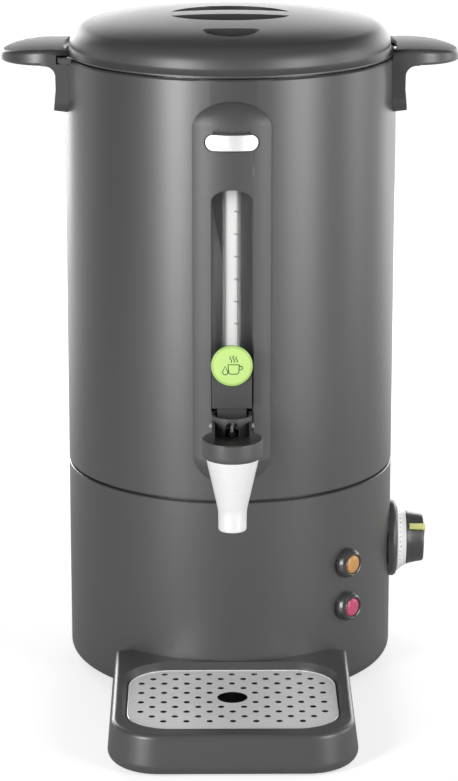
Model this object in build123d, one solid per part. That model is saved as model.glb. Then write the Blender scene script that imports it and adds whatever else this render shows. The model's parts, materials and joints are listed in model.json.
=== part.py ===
"""Hot water urn: a double-walled drink dispenser with a press tap, a level tube and a drip tray.

Millimetres. The urn's own axis is Z, +Z is up and z = 0 is the surface it stands on. The tap, the
level tube and the drip tray are at the front, towards -Y. The thermostat knob is on the right, +X.
"""
import os
from math import asin, atan2, cos, degrees, radians, sin, sqrt

from build123d import *

# ---- driving dimensions: body --------------------------------------------------------------
BODY_R = 110.0            # outside of the shell and of the base
FIT = 0.05                # gap left between pieces that are seated on each other
BASE_BOTTOM_Z = 2.0       # underside of the base housing; the feet reach down to z = 0
SEAM_Z = 140.3            # groove between base and shell
SEAM_GAP = 1.6
SHELL_TOP_Z = 417.8
SHELL_WALL = 1.2
BASE_WALL = 3.0
BASE_CORNER_R = 8.0
PLATE_Z = BASE_BOTTOM_Z + BASE_WALL + FIT
PLATE_T = 1.5
GLAND_Z = 30.0
VESSEL_R = 99.5
VESSEL_WALL = 0.8
VESSEL_FLOOR_Z = 166.0
RIM_R = 102.6             # vessel rim, lying on the shell's turned-in edge
RIM_Z = SHELL_TOP_Z + VESSEL_WALL

# ---- lid ------------------------------------------------------------------------------------
LID_TOP_Z = 444.5
LID_CROWN_R = 620.0       # spherical top
LID_SHOULDER_R = 12.5
LID_SKIRT_R = 106.2       # skirt above its flared edge
LID_EDGE_R = 108.8
LID_EDGE_Z = 418.95
LID_WALL = 2.6
GRIP_A = 40.5             # finger well in the lid, half its length
GRIP_B = 31.8             # and half its width
GRIP_FLOOR_Z = 426.0
GRIP_BAR = 17.4           # width of the bar across the well
GRIP_BAR_Z = 434.5        # underside of the bar
VENT_Y = -55.0            # straight edge of the half-moon steam vent
VENT_W = 37.0
VENT_D = 20.0
SEAL_R_IN = 99.3
SEAL_R_OUT = 102.3
LUG_R = 117.3
LUG_Z = (416.2, 419.8)
LUG_Y = (-38.0, -31.5)    # the lug stands just in front of the handle's slot
TWIST_DEG = 14.0

# ---- handles --------------------------------------------------------------------------------
HANDLE_TIP_X = 152.0
HANDLE_HALF_W = 31.0
HANDLE_ROOT_X = 119.0     # the paddle is full width from the body to here
HANDLE_TOP_Z = 424.0
HANDLE_UNDER_Z = 413.4
LEG_X = 114.6
LEG_BOTTOM_Z = 382.0

# ---- front panel with the level tube ---------------------------------------------------------
PANEL_HALF_W = 25.2
PANEL_Z = (152.5, 404.0)
PANEL_CREST = 118.0       # furthest forward, from the urn's axis
PANEL_BOW_R = 36.0        # the panel is bowed across its width
TROUGH_HALF_W = 13.3
TROUGH_TOP_Z = 349.0
TROUGH_FLOOR = 101.3
TUBE_AXIS = 108.4
TUBE_R = 5.7
TUBE_BORE_R = 4.6
TUBE_Z = (217.0, 354.0)
BADGE_Z = 379.0
BADGE_W = 33.4
BADGE_H = 9.8

# ---- tap --------------------------------------------------------------------------------------
TAP_AXIS = 165.0          # spout axis, from the urn's axis
COLUMN_AXIS = 121.0
COLUMN_R = 13.0
COLUMN_Z = (176.0, 203.2)
WELL_FLOOR_Z = 190.4
CUP_R = 19.3
CUP_BORE_R = 17.8
CUP_Z = (187.9, 200.0)
SPOUT_TOP_R = 16.7
SPOUT_END_R = 9.0
SPOUT_KNEE_Z = 154.5
SPOUT_END_Z = 140.0
STEM_AXIS = 127.4
STEM_R = 1.7
INLET_Z = 183.5
STEM_Z = (192.0, 199.6)
PIVOT_AXIS = 118.9
PIVOT_Z = 195.0
PIN_R = 1.5
LEVER_HALF_W = 12.9
LEVER_FACE = 122.0
LEVER_LOW_Z = 207.2       # lower edge of the paddle's face
NECK_HALF_W = 9.4         # the part of the lever that goes down into the well
BUTTON_Z = 236.0
BUTTON_R = 13.35

# ---- thermostat knob and lamps ------------------------------------------------------------------
KNOB_Z = 80.0
FLANGE_R = 26.6
FLANGE_X = 114.4
DIAL_X = 120.7
DIAL_R = (23.0, 20.6, 19.0)
KNOB_X = (121.1, 132.9)
KNOB_R = (18.7, 16.4)
SHAFT_R = 3.0
POINTER_DEG = 41.5        # pointer, above the horizontal, towards the front
LAMP_DEG = 44.0           # lamps, from the front round to the right
LAMP_Z = (88.5, 58.3)
LAMP_R = 10.0
LAMP_FACE = 117.3
LENS_R = 6.2

# ---- drip tray ------------------------------------------------------------------------------------
TRAY_BOTTOM_Z = 1.0
TRAY_FRONT = 239.0
TRAY_BACK = 84.0
TRAY_HALF_W = 80.4
TRAY_CORNER_R = 34.0
TRAY_FLARE_DEG = 7.5
TRAY_RIM_Z = (30.2, 27.8)  # at the back, at the front
GRILLE_Z = 26.0            # top of the grille
GRILLE_T = 1.2
GRILLE_HALF_W = 67.5
GRILLE_Y = (-221.5, -115.8)
GRILLE_CORNER_R = 28.0
HOLE_R = 1.9
HOLE_PITCH = 14.7
ROW_PITCH = 8.25
HOLE_ROWS = (7, 8, 9, 8, 9, 8, 9, 8, 9, 8, 7)
DRAIN_R = 9.7

UP = (Align.CENTER, Align.CENTER, Align.MIN)


# ---- plain building blocks -----------------------------------------------------------------------
def rod(radius, z0, z1, x=0.0, y=0.0):
    """Upright round bar."""
    return Pos(x, y, z0) * Cylinder(radius, z1 - z0, align=UP)


def rod_x(radius, x0, x1, y, z):
    """Round bar along +X."""
    return Pos(x0, y, z) * Rot(0, 90, 0) * Cylinder(radius, x1 - x0, align=UP)


def rod_y(radius, y0, y1, x, z):
    """Round bar along +Y."""
    return Pos(x, y0, z) * Rot(-90, 0, 0) * Cylinder(radius, y1 - y0, align=UP)


def block(x0, x1, y0, y1, z0, z1):
    """Rectangular block between two corners."""
    return Pos((x0 + x1) / 2, (y0 + y1) / 2, (z0 + z1) / 2) * Box(x1 - x0, y1 - y0, z1 - z0)


def turned(points):
    """Solid of revolution about Z from a closed outline of (radius, height) points."""
    return revolve(Plane.XZ * make_face(Polyline(*points, close=True)), Axis.Z)


def turned_edges(edges):
    """Solid of revolution about Z from edges drawn as (radius, height)."""
    return revolve(Plane.XZ * make_face(Curve() + edges), Axis.Z)


def outward(azimuth_deg, z):
    """Place on the body's wall: local +Z points out of the body, azimuth from the front to the right."""
    a = radians(azimuth_deg)
    normal = (sin(a), -cos(a), 0)
    return Plane(origin=(0, 0, z), x_dir=(cos(a), sin(a), 0), z_dir=normal).location


def group(shapes):
    """Several separate solids in one node."""
    return Compound(children=list(shapes))


# ---- body ------------------------------------------------------------------------------------------
def outer_shell():
    seam_top = SEAM_Z + SEAM_GAP / 2
    bore = BODY_R - SHELL_WALL
    edge_r = RIM_R - 2.4
    shell = turned([
        (bore, seam_top), (BODY_R - 0.6, seam_top), (BODY_R, seam_top + 0.6),
        (BODY_R, SHELL_TOP_Z - 1.0), (BODY_R - 1.0, SHELL_TOP_Z), (edge_r, SHELL_TOP_Z),
        (edge_r, SHELL_TOP_Z - SHELL_WALL), (bore, SHELL_TOP_Z - SHELL_WALL),
    ])
    shell -= trough_block(TROUGH_HALF_W + 1.6, TUBE_Z[1] + 2.6)
    shell -= rod(COLUMN_R + 0.4, COLUMN_Z[0] - 1, COLUMN_Z[1] + 1, 0, -COLUMN_AXIS)
    for x, y, z in handle_screw_places():
        shell -= rod_x(2.1, min(x, 0), max(x, 0), y, z)
    return shell


def base_housing():
    seam_low = SEAM_Z - SEAM_GAP / 2
    inner = BODY_R - BASE_WALL
    lip = BODY_R - SHELL_WALL - 0.3
    groove = BODY_R - 3.7
    lip_in = groove - 1.5
    flange_in = 92.0
    floor = BASE_BOTTOM_Z + BASE_WALL
    corner = BASE_CORNER_R
    cz = BASE_BOTTOM_Z + corner
    diag = corner * sin(radians(45))
    edges = [
        Line((flange_in, floor), (flange_in, BASE_BOTTOM_Z)),
        Line((flange_in, BASE_BOTTOM_Z), (BODY_R - corner, BASE_BOTTOM_Z)),
        ThreePointArc((BODY_R - corner, BASE_BOTTOM_Z), (BODY_R - corner + diag, cz - diag), (BODY_R, cz)),
        Line((BODY_R, cz), (BODY_R, seam_low - 0.6)),
        Line((BODY_R, seam_low - 0.6), (BODY_R - 0.6, seam_low)),
        Line((BODY_R - 0.6, seam_low), (groove, seam_low)),
        Line((groove, seam_low), (groove, seam_low + 2.4)),
        Line((groove, seam_low + 2.4), (lip, seam_low + 2.4)),
        Line((lip, seam_low + 2.4), (lip, seam_low + 6)),
        Line((lip, seam_low + 6), (lip_in, seam_low + 6)),
        Line((lip_in, seam_low + 6), (lip_in, seam_low - 6)),
        Line((lip_in, seam_low - 6), (inner, seam_low - 8)),
        Line((inner, seam_low - 8), (inner, floor + 5)),
        Line((inner, floor + 5), (inner - 5, floor)),
        Line((inner - 5, floor), (flange_in, floor)),
    ]
    housing = turned_edges(edges)
    housing -= rod_x(5.2, BODY_R - 12, BODY_R + 2, 0, KNOB_Z)
    for z in LAMP_Z:
        housing -= outward(LAMP_DEG, z) * Pos(0, 0, 90) * Cylinder(6.2, 30, align=UP)
    housing -= rod_y(8.2, BODY_R - 12, BODY_R + 2, 0, GLAND_Z)
    for side in (-1, 1):
        housing -= tray_hook(side, 0.4)
    for x, y in base_screw_places():
        housing -= rod(1.8, 0, floor + 1, x, y)
    return housing


def base_screw_places():
    return [(99 * cos(radians(a)), 99 * sin(radians(a))) for a in (0, 90, 180, 270)]


def foot_places():
    return [(80 * cos(radians(a)), 80 * sin(radians(a))) for a in (45, 135, 225, 315)]


def base_plate():
    plate = rod(101.5, PLATE_Z, PLATE_Z + PLATE_T)
    for x, y in base_screw_places():
        plate -= rod(1.6, 0, 20, x, y)
    for x, y in foot_places():
        plate -= rod(3.05, 0, 20, x, y)
    for i in range(-3, 4):
        plate -= block(i * 12 - 2.5, i * 12 + 2.5, -32, 32, 0, 20)
    return plate


def base_screws():
    top = PLATE_Z + PLATE_T
    screws = []
    for x, y in base_screw_places():
        head = rod(3.2, BASE_BOTTOM_Z - 1.6, BASE_BOTTOM_Z - FIT, x, y)
        screws.append(head + rod(1.5, BASE_BOTTOM_Z - 1.0, top + 5, x, y))
    return group(screws)


def feet():
    """Rubber feet, pushed through the base plate."""
    top = PLATE_Z + PLATE_T
    made = []
    for x, y in foot_places():
        profile = [(0, 0), (7.6, 0), (8.8, 1.2), (9.0, PLATE_Z - FIT), (3.0, PLATE_Z - FIT),
                   (3.0, top + FIT), (4.2, top + FIT), (3.0, top + 3), (0, top + 3)]
        made.append(Pos(x, y, 0) * turned(profile))
    return group(made)


def inner_vessel():
    inside = VESSEL_R - VESSEL_WALL
    z = VESSEL_FLOOR_Z
    vessel = turned([
        (0, z - 4.0), (60, z - 4.0), (VESSEL_R - 3.6, z), (VESSEL_R, z + 3.4),
        (VESSEL_R, RIM_Z - VESSEL_WALL), (RIM_R, RIM_Z - VESSEL_WALL), (RIM_R, RIM_Z),
        (inside, RIM_Z), (inside, z + 3.8), (VESSEL_R - 4.0, z + VESSEL_WALL),
        (60, z - 4.0 + VESSEL_WALL), (0, z - 4.0 + VESSEL_WALL),
    ])
    return vessel - rod_y(6.1, -VESSEL_R - 3, -VESSEL_R + 6, 0, INLET_Z)


# ---- heating, in the dry space under the vessel ---------------------------------------------------
def heating_plate():
    """Aluminium plate under the vessel's floor, grooved for the tubular heater."""
    top = VESSEL_FLOOR_Z - 4.0 - FIT
    plate = rod(58, top - 6, top)
    return plate - turned([(40.4, top - 7), (47.6, top - 7), (47.6, top - 2.5), (40.4, top - 2.5)])


def heating_element():
    """Tubular heater, bent to a ring, with both cold ends turned down."""
    z = VESSEL_FLOOR_Z - 10.0 - FIT
    gap = 8.0
    section = Pos(44, z) * Rot(0, 0, 22.5) * RegularPolygon(3.5, 8)
    ring = revolve(Plane.XZ * section, Axis.Z)
    ring -= block(-gap, gap, 30, 60, z - 10, z + 10)
    for side in (-1, 1):
        x = side * (gap + 3.2)
        y = sqrt(44**2 - x**2)
        ring += Pos(x, y, z - 22) * extrude(RegularPolygon(3.5, 8), 22)
    return ring


def thermal_cutout():
    top = VESSEL_FLOOR_Z - 4.0 - 2 * FIT - 6
    return rod(7.5, top - 9, top, 0, -12) + block(-12, 12, -15, -9, top - 2, top)


def terminal_block():
    body = block(-18, 18, 60, 76, PLATE_Z + PLATE_T + FIT, PLATE_Z + PLATE_T + 16)
    for x in (-12, 0, 12):
        body -= rod(2.4, PLATE_Z + 12, PLATE_Z + 30, x, 68)
        body -= rod_y(1.8, 55, 65, x, PLATE_Z + 7)
    return body


def cable_gland():
    """Gland for the mains lead at the back of the base."""
    y = BODY_R
    gland = rod_y(8.0, y - 9, y + 2, 0, GLAND_Z)
    gland += rod_y(11.0, y + FIT, y + 4, 0, GLAND_Z)
    gland += rod_y(8.6, y + 3, y + 11, 0, GLAND_Z)
    gland += rod_y(10.5, y - 9, y - BASE_WALL - 1.2, 0, GLAND_Z)
    gland -= rod(BODY_R + FIT, GLAND_Z - 20, GLAND_Z + 20) - rod_y(8.0, 90, 130, 0, GLAND_Z) \
        - rod(BODY_R - BASE_WALL - FIT, GLAND_Z - 21, GLAND_Z + 21)
    gland -= rod_y(4.6, y - 12, y + 2, 0, GLAND_Z)
    return gland - rod_y(3.6, y, y + 14, 0, GLAND_Z)


# ---- front panel ------------------------------------------------------------------------------------
def arched_outline(half_w, z0, z1, end_rise, foot_rise):
    """Upright slot outline in X and Z: straight sides, flattened elliptical top and bottom."""
    top = z1 - end_rise
    low = z0 + foot_rise
    sides = [
        Line((-half_w, low), (-half_w, top)),
        EllipticalCenterArc((0, top), half_w, end_rise, start_angle=0, arc_size=180),
        Line((half_w, top), (half_w, low)),
    ]
    if foot_rise:
        sides.append(EllipticalCenterArc((0, low), half_w, foot_rise, start_angle=180, arc_size=180))
    else:
        sides.append(Line((half_w, low), (-half_w, low)))
    return make_face(Curve() + sides)


def forward(face, near, far):
    """Extrude an X-Z outline forward, from near to far in front of the urn's axis."""
    return Pos(0, -near, 0) * extrude(Plane.XZ * face, far - near)


def bow(radius):
    """Upright barrel that gives the front panel its bowed face."""
    return rod(radius, 100, 430, 0, -(PANEL_CREST - PANEL_BOW_R))


def trough_block(half_w, top_z=TROUGH_TOP_Z + 1.6, low_z=None):
    low = COLUMN_Z[1] - 1.0 if low_z is None else low_z
    outline = arched_outline(half_w, low, top_z, 8.0, 0)
    return forward(outline, TROUGH_FLOOR - 1.2, PANEL_CREST + 12)


def bowed_end(z, run):
    """Rounded end of the bowed face: it meets the shell at a distance of run above or below z."""
    proud = PANEL_CREST - BODY_R
    d = (PANEL_CREST + BODY_R - run**2 / proud) / 2
    half = sqrt(PANEL_BOW_R**2 - (d - PANEL_CREST + PANEL_BOW_R)**2)
    section = make_face(Curve() + [
        ThreePointArc((-half, -d), (0, -PANEL_CREST), (half, -d)), Line((half, -d), (-half, -d)),
    ])
    return revolve(Pos(0, 0, z) * section, Axis((0, -d, z), (1, 0, 0)))


def front_panel():
    """Moulding on the shell's front: carries the badge, the level tube, the lever and the tap."""
    z0, z1 = PANEL_Z
    outline = forward(arched_outline(PANEL_HALF_W, z0, z1, 17.5, 20.0), 90, 130)
    top_run, low_run = 17.0, 21.0
    zt, zl = z1 - top_run + 0.6, z0 + low_run - 0.6
    face = rod(PANEL_BOW_R, zl, zt, 0, -(PANEL_CREST - PANEL_BOW_R))
    panel = outline & (face + bowed_end(zt, top_run) + bowed_end(zl, low_run))
    panel -= rod(BODY_R + FIT, 100, 430)
    # trough that lies in the shell's slot and holds the tube
    wall = 1.4
    trough = trough_block(TROUGH_HALF_W + wall, TROUGH_TOP_Z + wall)
    trough &= rod(BODY_R + 3.0, 100, 430) & bow(PANEL_BOW_R)
    panel = panel + trough
    hollow = forward(arched_outline(TROUGH_HALF_W, COLUMN_Z[1], TROUGH_TOP_Z, 8.0, 0), TROUGH_FLOOR, 140)
    socket = block(-8.4, 8.4, -116.4, -TROUGH_FLOOR + 0.6, TUBE_Z[0] - 1.4, TUBE_Z[0] + 8.6)
    panel -= hollow - socket
    # room for the tap column, the tube's ends and the badge
    panel -= rod(COLUMN_R + FIT, COLUMN_Z[0] - FIT, COLUMN_Z[1] + 0.1, 0, -COLUMN_AXIS)
    panel -= rod(TUBE_R + 1.2, TUBE_Z[0], TUBE_Z[1] + 1.0, 0, -TUBE_AXIS)
    pocket = badge_blank(0.9, 1.2, 2.0)
    return panel - pocket


def badge_blank(grow, depth, height):
    """Pill-shaped piece of the bowed face, from depth under it to height above it."""
    w, h = BADGE_W / 2 + grow, BADGE_H / 2 + grow
    pill = make_face(Curve() + [
        Line((-w + h, BADGE_Z + h), (w - h, BADGE_Z + h)),
        ThreePointArc((w - h, BADGE_Z + h), (w, BADGE_Z), (w - h, BADGE_Z - h)),
        Line((w - h, BADGE_Z - h), (-w + h, BADGE_Z - h)),
        ThreePointArc((-w + h, BADGE_Z - h), (-w, BADGE_Z), (-w + h, BADGE_Z + h)),
    ])
    return forward(pill, 104, 124) & (bow(PANEL_BOW_R + height) - bow(PANEL_BOW_R - depth))


def badge_plate():
    """Bare plate in the panel's pocket."""
    return badge_blank(0.0, 1.15, -0.15)


def sight_tube():
    return rod(TUBE_R, *TUBE_Z, 0, -TUBE_AXIS) - rod(TUBE_BORE_R, *TUBE_Z, 0, -TUBE_AXIS)


def tube_seals():
    """Silicone sleeves that hold the tube's two ends."""
    low, high = TUBE_Z
    sleeves = []
    for z0, z1 in ((low + FIT, low + 8.5), (TROUGH_TOP_Z + 0.6, high)):
        sleeve = rod(TUBE_R + 1.15, z0, z1, 0, -TUBE_AXIS)
        sleeves.append(sleeve - rod(TUBE_R + FIT, z0 - 1, z1 + 1, 0, -TUBE_AXIS))
    return group(sleeves)


def level_scale():
    """White strip on the trough's floor, seen through the tube."""
    y = -TROUGH_FLOOR - FIT
    return block(-3.6, 3.6, y - 0.6, y, TUBE_Z[0] + 9, TROUGH_TOP_Z - 3)


# ---- tap --------------------------------------------------------------------------------------------
def tap_body():
    """Column with the valve's well, opening forward into the cup that feeds the spout."""
    z0, z1 = COLUMN_Z
    c0, c1 = CUP_Z
    floor = WELL_FLOOR_Z
    column = rod(COLUMN_R, z0 + 5, z1, 0, -COLUMN_AXIS)
    column += Pos(0, -COLUMN_AXIS, z0) * Cone(COLUMN_R - 5, COLUMN_R, 5, align=UP)
    cup = Pos(0, -TAP_AXIS, 0) * turned([(0, c0), (CUP_R - 1.6, c0), (CUP_R - 0.4, c0 + 1.2),
                                         (CUP_R, c0 + 4), (CUP_R, c1 - 0.6), (CUP_R - 0.6, c1), (0, c1)])
    neck_w = COLUMN_R - 0.4
    cup += block(-neck_w, neck_w, -TAP_AXIS, -COLUMN_AXIS, c0, c1)
    cup -= rod(CUP_BORE_R, floor, c1 + 1, 0, -TAP_AXIS)
    cup -= block(-neck_w + 1.6, neck_w - 1.6, -TAP_AXIS, -COLUMN_AXIS, floor, c1 + 1)
    cup -= rod(SPOUT_TOP_R - 3.0, c0 - 4, c0 + 4, 0, -TAP_AXIS)
    cup -= rod(SPOUT_TOP_R + FIT, c0 - 4, c0 + 1.2, 0, -TAP_AXIS)
    body = cup + column
    well = rod(COLUMN_R - 1.4, floor, z1 + 1, 0, -COLUMN_AXIS)
    well &= block(-10.2, 10.2, -140, -113.9, floor, z1 + 1)
    well += rod(COLUMN_R - 1.1, z1 - 1.4, z1 + 1, 0, -COLUMN_AXIS)
    gate = block(-4.2, 4.2, -150, -COLUMN_AXIS, floor, floor + 6.8)
    gate += rod_y(4.2, -150, -COLUMN_AXIS, 0, floor + 6.8)
    body -= well + gate
    body -= rod_x(PIN_R + 0.02, -20, 20, -PIVOT_AXIS, PIVOT_Z)
    body -= rod(2.6, INLET_Z - 1, floor + 1, 0, -STEM_AXIS)
    body -= rod_y(4.5, -STEM_AXIS - 1, -COLUMN_AXIS + COLUMN_R + 2, 0, INLET_Z)
    body -= rod_y(6.05, -COLUMN_AXIS + COLUMN_R - 6, -COLUMN_AXIS + COLUMN_R + 2, 0, INLET_Z)
    return body


def spout():
    """Stainless cone over the drip tray, flanged into the cup."""
    seat = CUP_Z[0] + 1.2 - FIT
    r0, r1 = SPOUT_TOP_R, SPOUT_END_R
    t = 0.9
    return Pos(0, -TAP_AXIS, 0) * turned([
        (r0, seat), (r0, seat - 2.2), (r1 + 0.5, SPOUT_KNEE_Z), (r1 + 0.1, SPOUT_KNEE_Z - 3),
        (r1, SPOUT_END_Z + 1), (r1 - 0.3, SPOUT_END_Z), (r1 - t, SPOUT_END_Z),
        (r1 - t, SPOUT_KNEE_Z - 3), (r1 + 0.5 - t, SPOUT_KNEE_Z), (r0 - t, seat - 2.2), (r0 - t, seat),
    ])


def tap_inlet():
    """Threaded tube from the vessel's wall into the back of the tap column."""
    y_front, y_back = -COLUMN_AXIS + COLUMN_R - 6 + FIT, -VESSEL_R + 12
    tube = rod_y(6.0, y_front, y_back, 0, INLET_Z)
    return tube - rod_y(4.5, y_front - 1, y_back + 1, 0, INLET_Z)


def inlet_nut():
    """Nut on the inlet, inside the vessel."""
    y = -VESSEL_R + 4.6
    nut = Pos(0, y, INLET_Z) * Rot(-90, 0, 0) * extrude(RegularPolygon(10, 6), 5)
    return nut - rod_y(6.0 + FIT, y - 1, y + 7, 0, INLET_Z)


def inlet_gaskets():
    """Silicone washers on the two faces of the vessel's wall."""
    ring = rod_y(9.5, -COLUMN_AXIS + COLUMN_R - 8, -VESSEL_R + 4.5, 0, INLET_Z)
    ring -= rod_y(6.0 + FIT, -120, -80, 0, INLET_Z)
    outside = ring - rod(VESSEL_R + FIT, 150, 220) - rod(COLUMN_R + FIT, 150, 220, 0, -COLUMN_AXIS)
    outside &= rod(BODY_R - SHELL_WALL - 0.5, 150, 220)
    inside = ring & rod(VESSEL_R - VESSEL_WALL - FIT, 150, 220)
    return group([outside, inside])


def lever():
    """Press lever: a paddle in the trough, and a neck down in the well with a hub and a fork."""
    low, top, back = LEVER_LOW_Z, BUTTON_Z, LEVER_FACE - 3.4
    paddle = make_face(Curve() + [
        Line((-LEVER_HALF_W, low), (-LEVER_HALF_W, top)),
        ThreePointArc((-LEVER_HALF_W, top), (0, top + LEVER_HALF_W), (LEVER_HALF_W, top)),
        Line((LEVER_HALF_W, top), (LEVER_HALF_W, low)),
        Line((LEVER_HALF_W, low), (-LEVER_HALF_W, low)),
    ])
    body = forward(paddle, back, LEVER_FACE)
    body -= block(-9.8, 9.8, -LEVER_FACE + 1.5, -110, TUBE_Z[0] - 4, 260)
    # neck, hub and fork
    body += block(-NECK_HALF_W, NECK_HALF_W, -back - 0.2, -back + 2.8, PIVOT_Z, low + 0.4)
    body += block(-NECK_HALF_W, NECK_HALF_W, -LEVER_FACE + 1.6, -back + 2.8, low + 0.2, TUBE_Z[0] - 4)
    body += rod_x(3.0, -NECK_HALF_W, NECK_HALF_W, -PIVOT_AXIS, PIVOT_Z)
    body += block(-5.2, 5.2, -STEM_AXIS - 2.8, -PIVOT_AXIS, PIVOT_Z + 0.6, STEM_Z[1] - 1.6)
    body -= block(-2.2, 2.2, -STEM_AXIS - 4, -STEM_AXIS + STEM_R + 1.0, PIVOT_Z - 4, 204)
    body -= block(5.5, 10, -PIVOT_AXIS - 3.3, -PIVOT_AXIS + 3.3, PIVOT_Z - 4, PIVOT_Z + 3.6)
    body -= rod_x(PIN_R + FIT, -20, 20, -PIVOT_AXIS, PIVOT_Z)
    body -= rod_y(2.0 + FIT, -LEVER_FACE - 1, -LEVER_FACE + 2.4, 0, BUTTON_Z)
    return body


def lever_button():
    """Round cap on the lever, slightly domed, with a peg in the lever."""
    y = LEVER_FACE + FIT
    profile = [(0, 0), (BUTTON_R - 0.7, 0), (BUTTON_R, 0.8), (BUTTON_R, 1.9), (BUTTON_R - 0.9, 2.6),
               (BUTTON_R - 1.7, 2.4), (6.0, 2.9), (0, 3.0)]
    cap = Pos(0, -y, BUTTON_Z) * Rot(90, 0, 0) * turned(profile)
    return cap + rod_y(2.0, -y - 1, -y + 2.0, 0, BUTTON_Z)


def pivot_pin():
    half = COLUMN_R + 1.5
    return rod_x(PIN_R, -half, half, -PIVOT_AXIS, PIVOT_Z)


def lever_spring():
    """Close-wound torsion spring on the pivot pin, in the lever's notch."""
    turns, wire = 4, 0.9
    x0 = 5.8
    coil = rod_x(PIN_R + 0.3 + wire, x0, x0 + turns * wire, -PIVOT_AXIS, PIVOT_Z)
    return coil - rod_x(PIN_R + 0.3, x0 - 1, x0 + 10, -PIVOT_AXIS, PIVOT_Z)


def valve_stem():
    """Polished pin with a head that the lever's fork lifts."""
    y = -STEM_AXIS
    z0, z1 = STEM_Z
    return rod(STEM_R, z0, z1, 0, y) + rod(2.7, z1 - 1.2, z1, 0, y)


def valve_plug():
    """Silicone plug on the stem's foot, closing the port in the well's floor."""
    z = WELL_FLOOR_Z + 0.02
    plug = Pos(0, -STEM_AXIS, 0) * turned([(0, z), (3.6, z), (3.6, z + 1.2), (2.6, z + 3.0), (0, z + 3.0)])
    plug += rod(2.1, z - 2.0, z + 1, 0, -STEM_AXIS)
    return plug - rod(STEM_R + 0.02, STEM_Z[0] - 0.02, 210, 0, -STEM_AXIS)


# ---- lid --------------------------------------------------------------------------------------------
def dome(offset):
    """Solid lid shape, its skin moved inwards by offset, down to the skirt's lower edge."""
    crown = LID_CROWN_R - offset
    cz = LID_TOP_Z - LID_CROWN_R
    sr = LID_SHOULDER_R - offset
    sx = LID_SKIRT_R - LID_SHOULDER_R
    ang = asin(sx / (LID_CROWN_R - LID_SHOULDER_R))
    sz = cz + (LID_CROWN_R - LID_SHOULDER_R) * cos(ang)
    mid = (ang + radians(90)) / 2

    def crown_at(a):
        return (crown * sin(a), cz + crown * cos(a))

    def shoulder_at(a):
        return (sx + sr * sin(a), sz + sr * cos(a))

    skirt = LID_SKIRT_R - offset
    edge = LID_EDGE_R - offset
    knee = (skirt, sz - 1.6)
    return turned_edges([
        ThreePointArc(crown_at(0), crown_at(ang / 2), crown_at(ang)),
        ThreePointArc(crown_at(ang), shoulder_at(mid), shoulder_at(radians(90))),
        Line(shoulder_at(radians(90)), knee),
        Line(knee, (edge, LID_EDGE_Z + 1.0)),
        Line((edge, LID_EDGE_Z + 1.0), (edge, LID_EDGE_Z)),
        Line((edge, LID_EDGE_Z), (0, LID_EDGE_Z)),
        Line((0, LID_EDGE_Z), crown_at(0)),
    ])


def half_moon(w, d, grow=0.0):
    """Vent outline in X and Y: straight at the back, curved at the front."""
    a, b = w / 2 + grow, d + 2 * grow
    y = VENT_Y + grow
    moon = make_face(Curve() + [
        Line((-a, y), (a, y)), EllipticalCenterArc((0, y), a, b, start_angle=180, arc_size=180),
    ])
    return fillet(moon.vertices(), 3.0 + grow)


def lid_shell():
    """Domed lid with a finger well, a bar across it, a steam vent and two bayonet lugs."""
    lid = dome(0)
    roof = LID_SKIRT_R - LID_WALL
    inside = turned([(0, LID_EDGE_Z), (LID_EDGE_R - LID_WALL, LID_EDGE_Z), (roof, LID_EDGE_Z + 7),
                     (roof - 1.8, LID_EDGE_Z + 12), (roof - 12, LID_EDGE_Z + 18.6), (56, LID_TOP_Z - 5.2),
                     (0, LID_TOP_Z - 2.7)])
    inside -= extrude(Pos(0, 0, GRIP_FLOOR_Z - 2.4) * Ellipse(GRIP_A + 2.4, GRIP_B + 2.4), 60)
    inside -= extrude(Pos(0, 0, GRIP_FLOOR_Z - 2.4) * half_moon(VENT_W, VENT_D, 2.2), 60)
    lid -= inside
    lid -= rod(SEAL_R_OUT + 0.4, LID_EDGE_Z - 1, LID_EDGE_Z + 3.2)
    well = extrude(Pos(0, 0, GRIP_FLOOR_Z) * Ellipse(GRIP_A, GRIP_B), 34)
    well = fillet(well.edges().sort_by(Axis.Z)[0], 5.0)
    bar = block(-GRIP_A - 1, GRIP_A + 1, -GRIP_BAR / 2, GRIP_BAR / 2, GRIP_BAR_Z, 470)
    lid -= well - bar
    lid -= extrude(Pos(0, 0, 410) * half_moon(VENT_W, VENT_D), 60)
    hook = rod(LUG_R, *LUG_Z) - rod(BODY_R + 0.6, LUG_Z[0] - 1, LUG_Z[1] + 1)
    hook += rod(LUG_R, LID_EDGE_Z + 0.02, LUG_Z[1]) - rod(LID_EDGE_R - 2, LID_EDGE_Z - 1, LUG_Z[1] + 1)
    for turn in (0, 180):
        lid += Rot(0, 0, turn) * (hook & block(-130, 0, *LUG_Y, 400, 430))
    return lid


def vent_insert():
    """Slotted plate set down inside the vent."""
    plate = extrude(Pos(0, 0, 436.2) * half_moon(VENT_W, VENT_D, -FIT), 1.4)
    for i in range(-2, 3):
        plate -= block(i * 5.5 - 1.2, i * 5.5 + 1.2, VENT_Y - 12, VENT_Y - 3.5, 430, 440)
    return plate


def lid_liner():
    """Flat liner under the dome, with the spigot that centres the lid in the vessel."""
    z = LID_EDGE_Z + 3.2 + FIT
    spigot = VESSEL_R - VESSEL_WALL - 0.9
    liner = turned([(0, z), (spigot - 1.6, z), (spigot - 1.6, z - 10), (spigot, z - 10), (spigot, z),
                    (LID_SKIRT_R - LID_WALL - 0.4, z), (LID_SKIRT_R - LID_WALL - 0.4, z + 1.2), (0, z + 1.2)])
    for x in (-10, 0, 10):
        liner -= rod(2.0, 400, 440, x, VENT_Y - 8)
    for x, y in lid_screw_places():
        liner -= rod(1.6, 400, 440, x, y)
    return liner


def lid_screw_places():
    return [(36 * cos(radians(a)), 36 * sin(radians(a))) for a in (90, 210, 330)]


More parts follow.
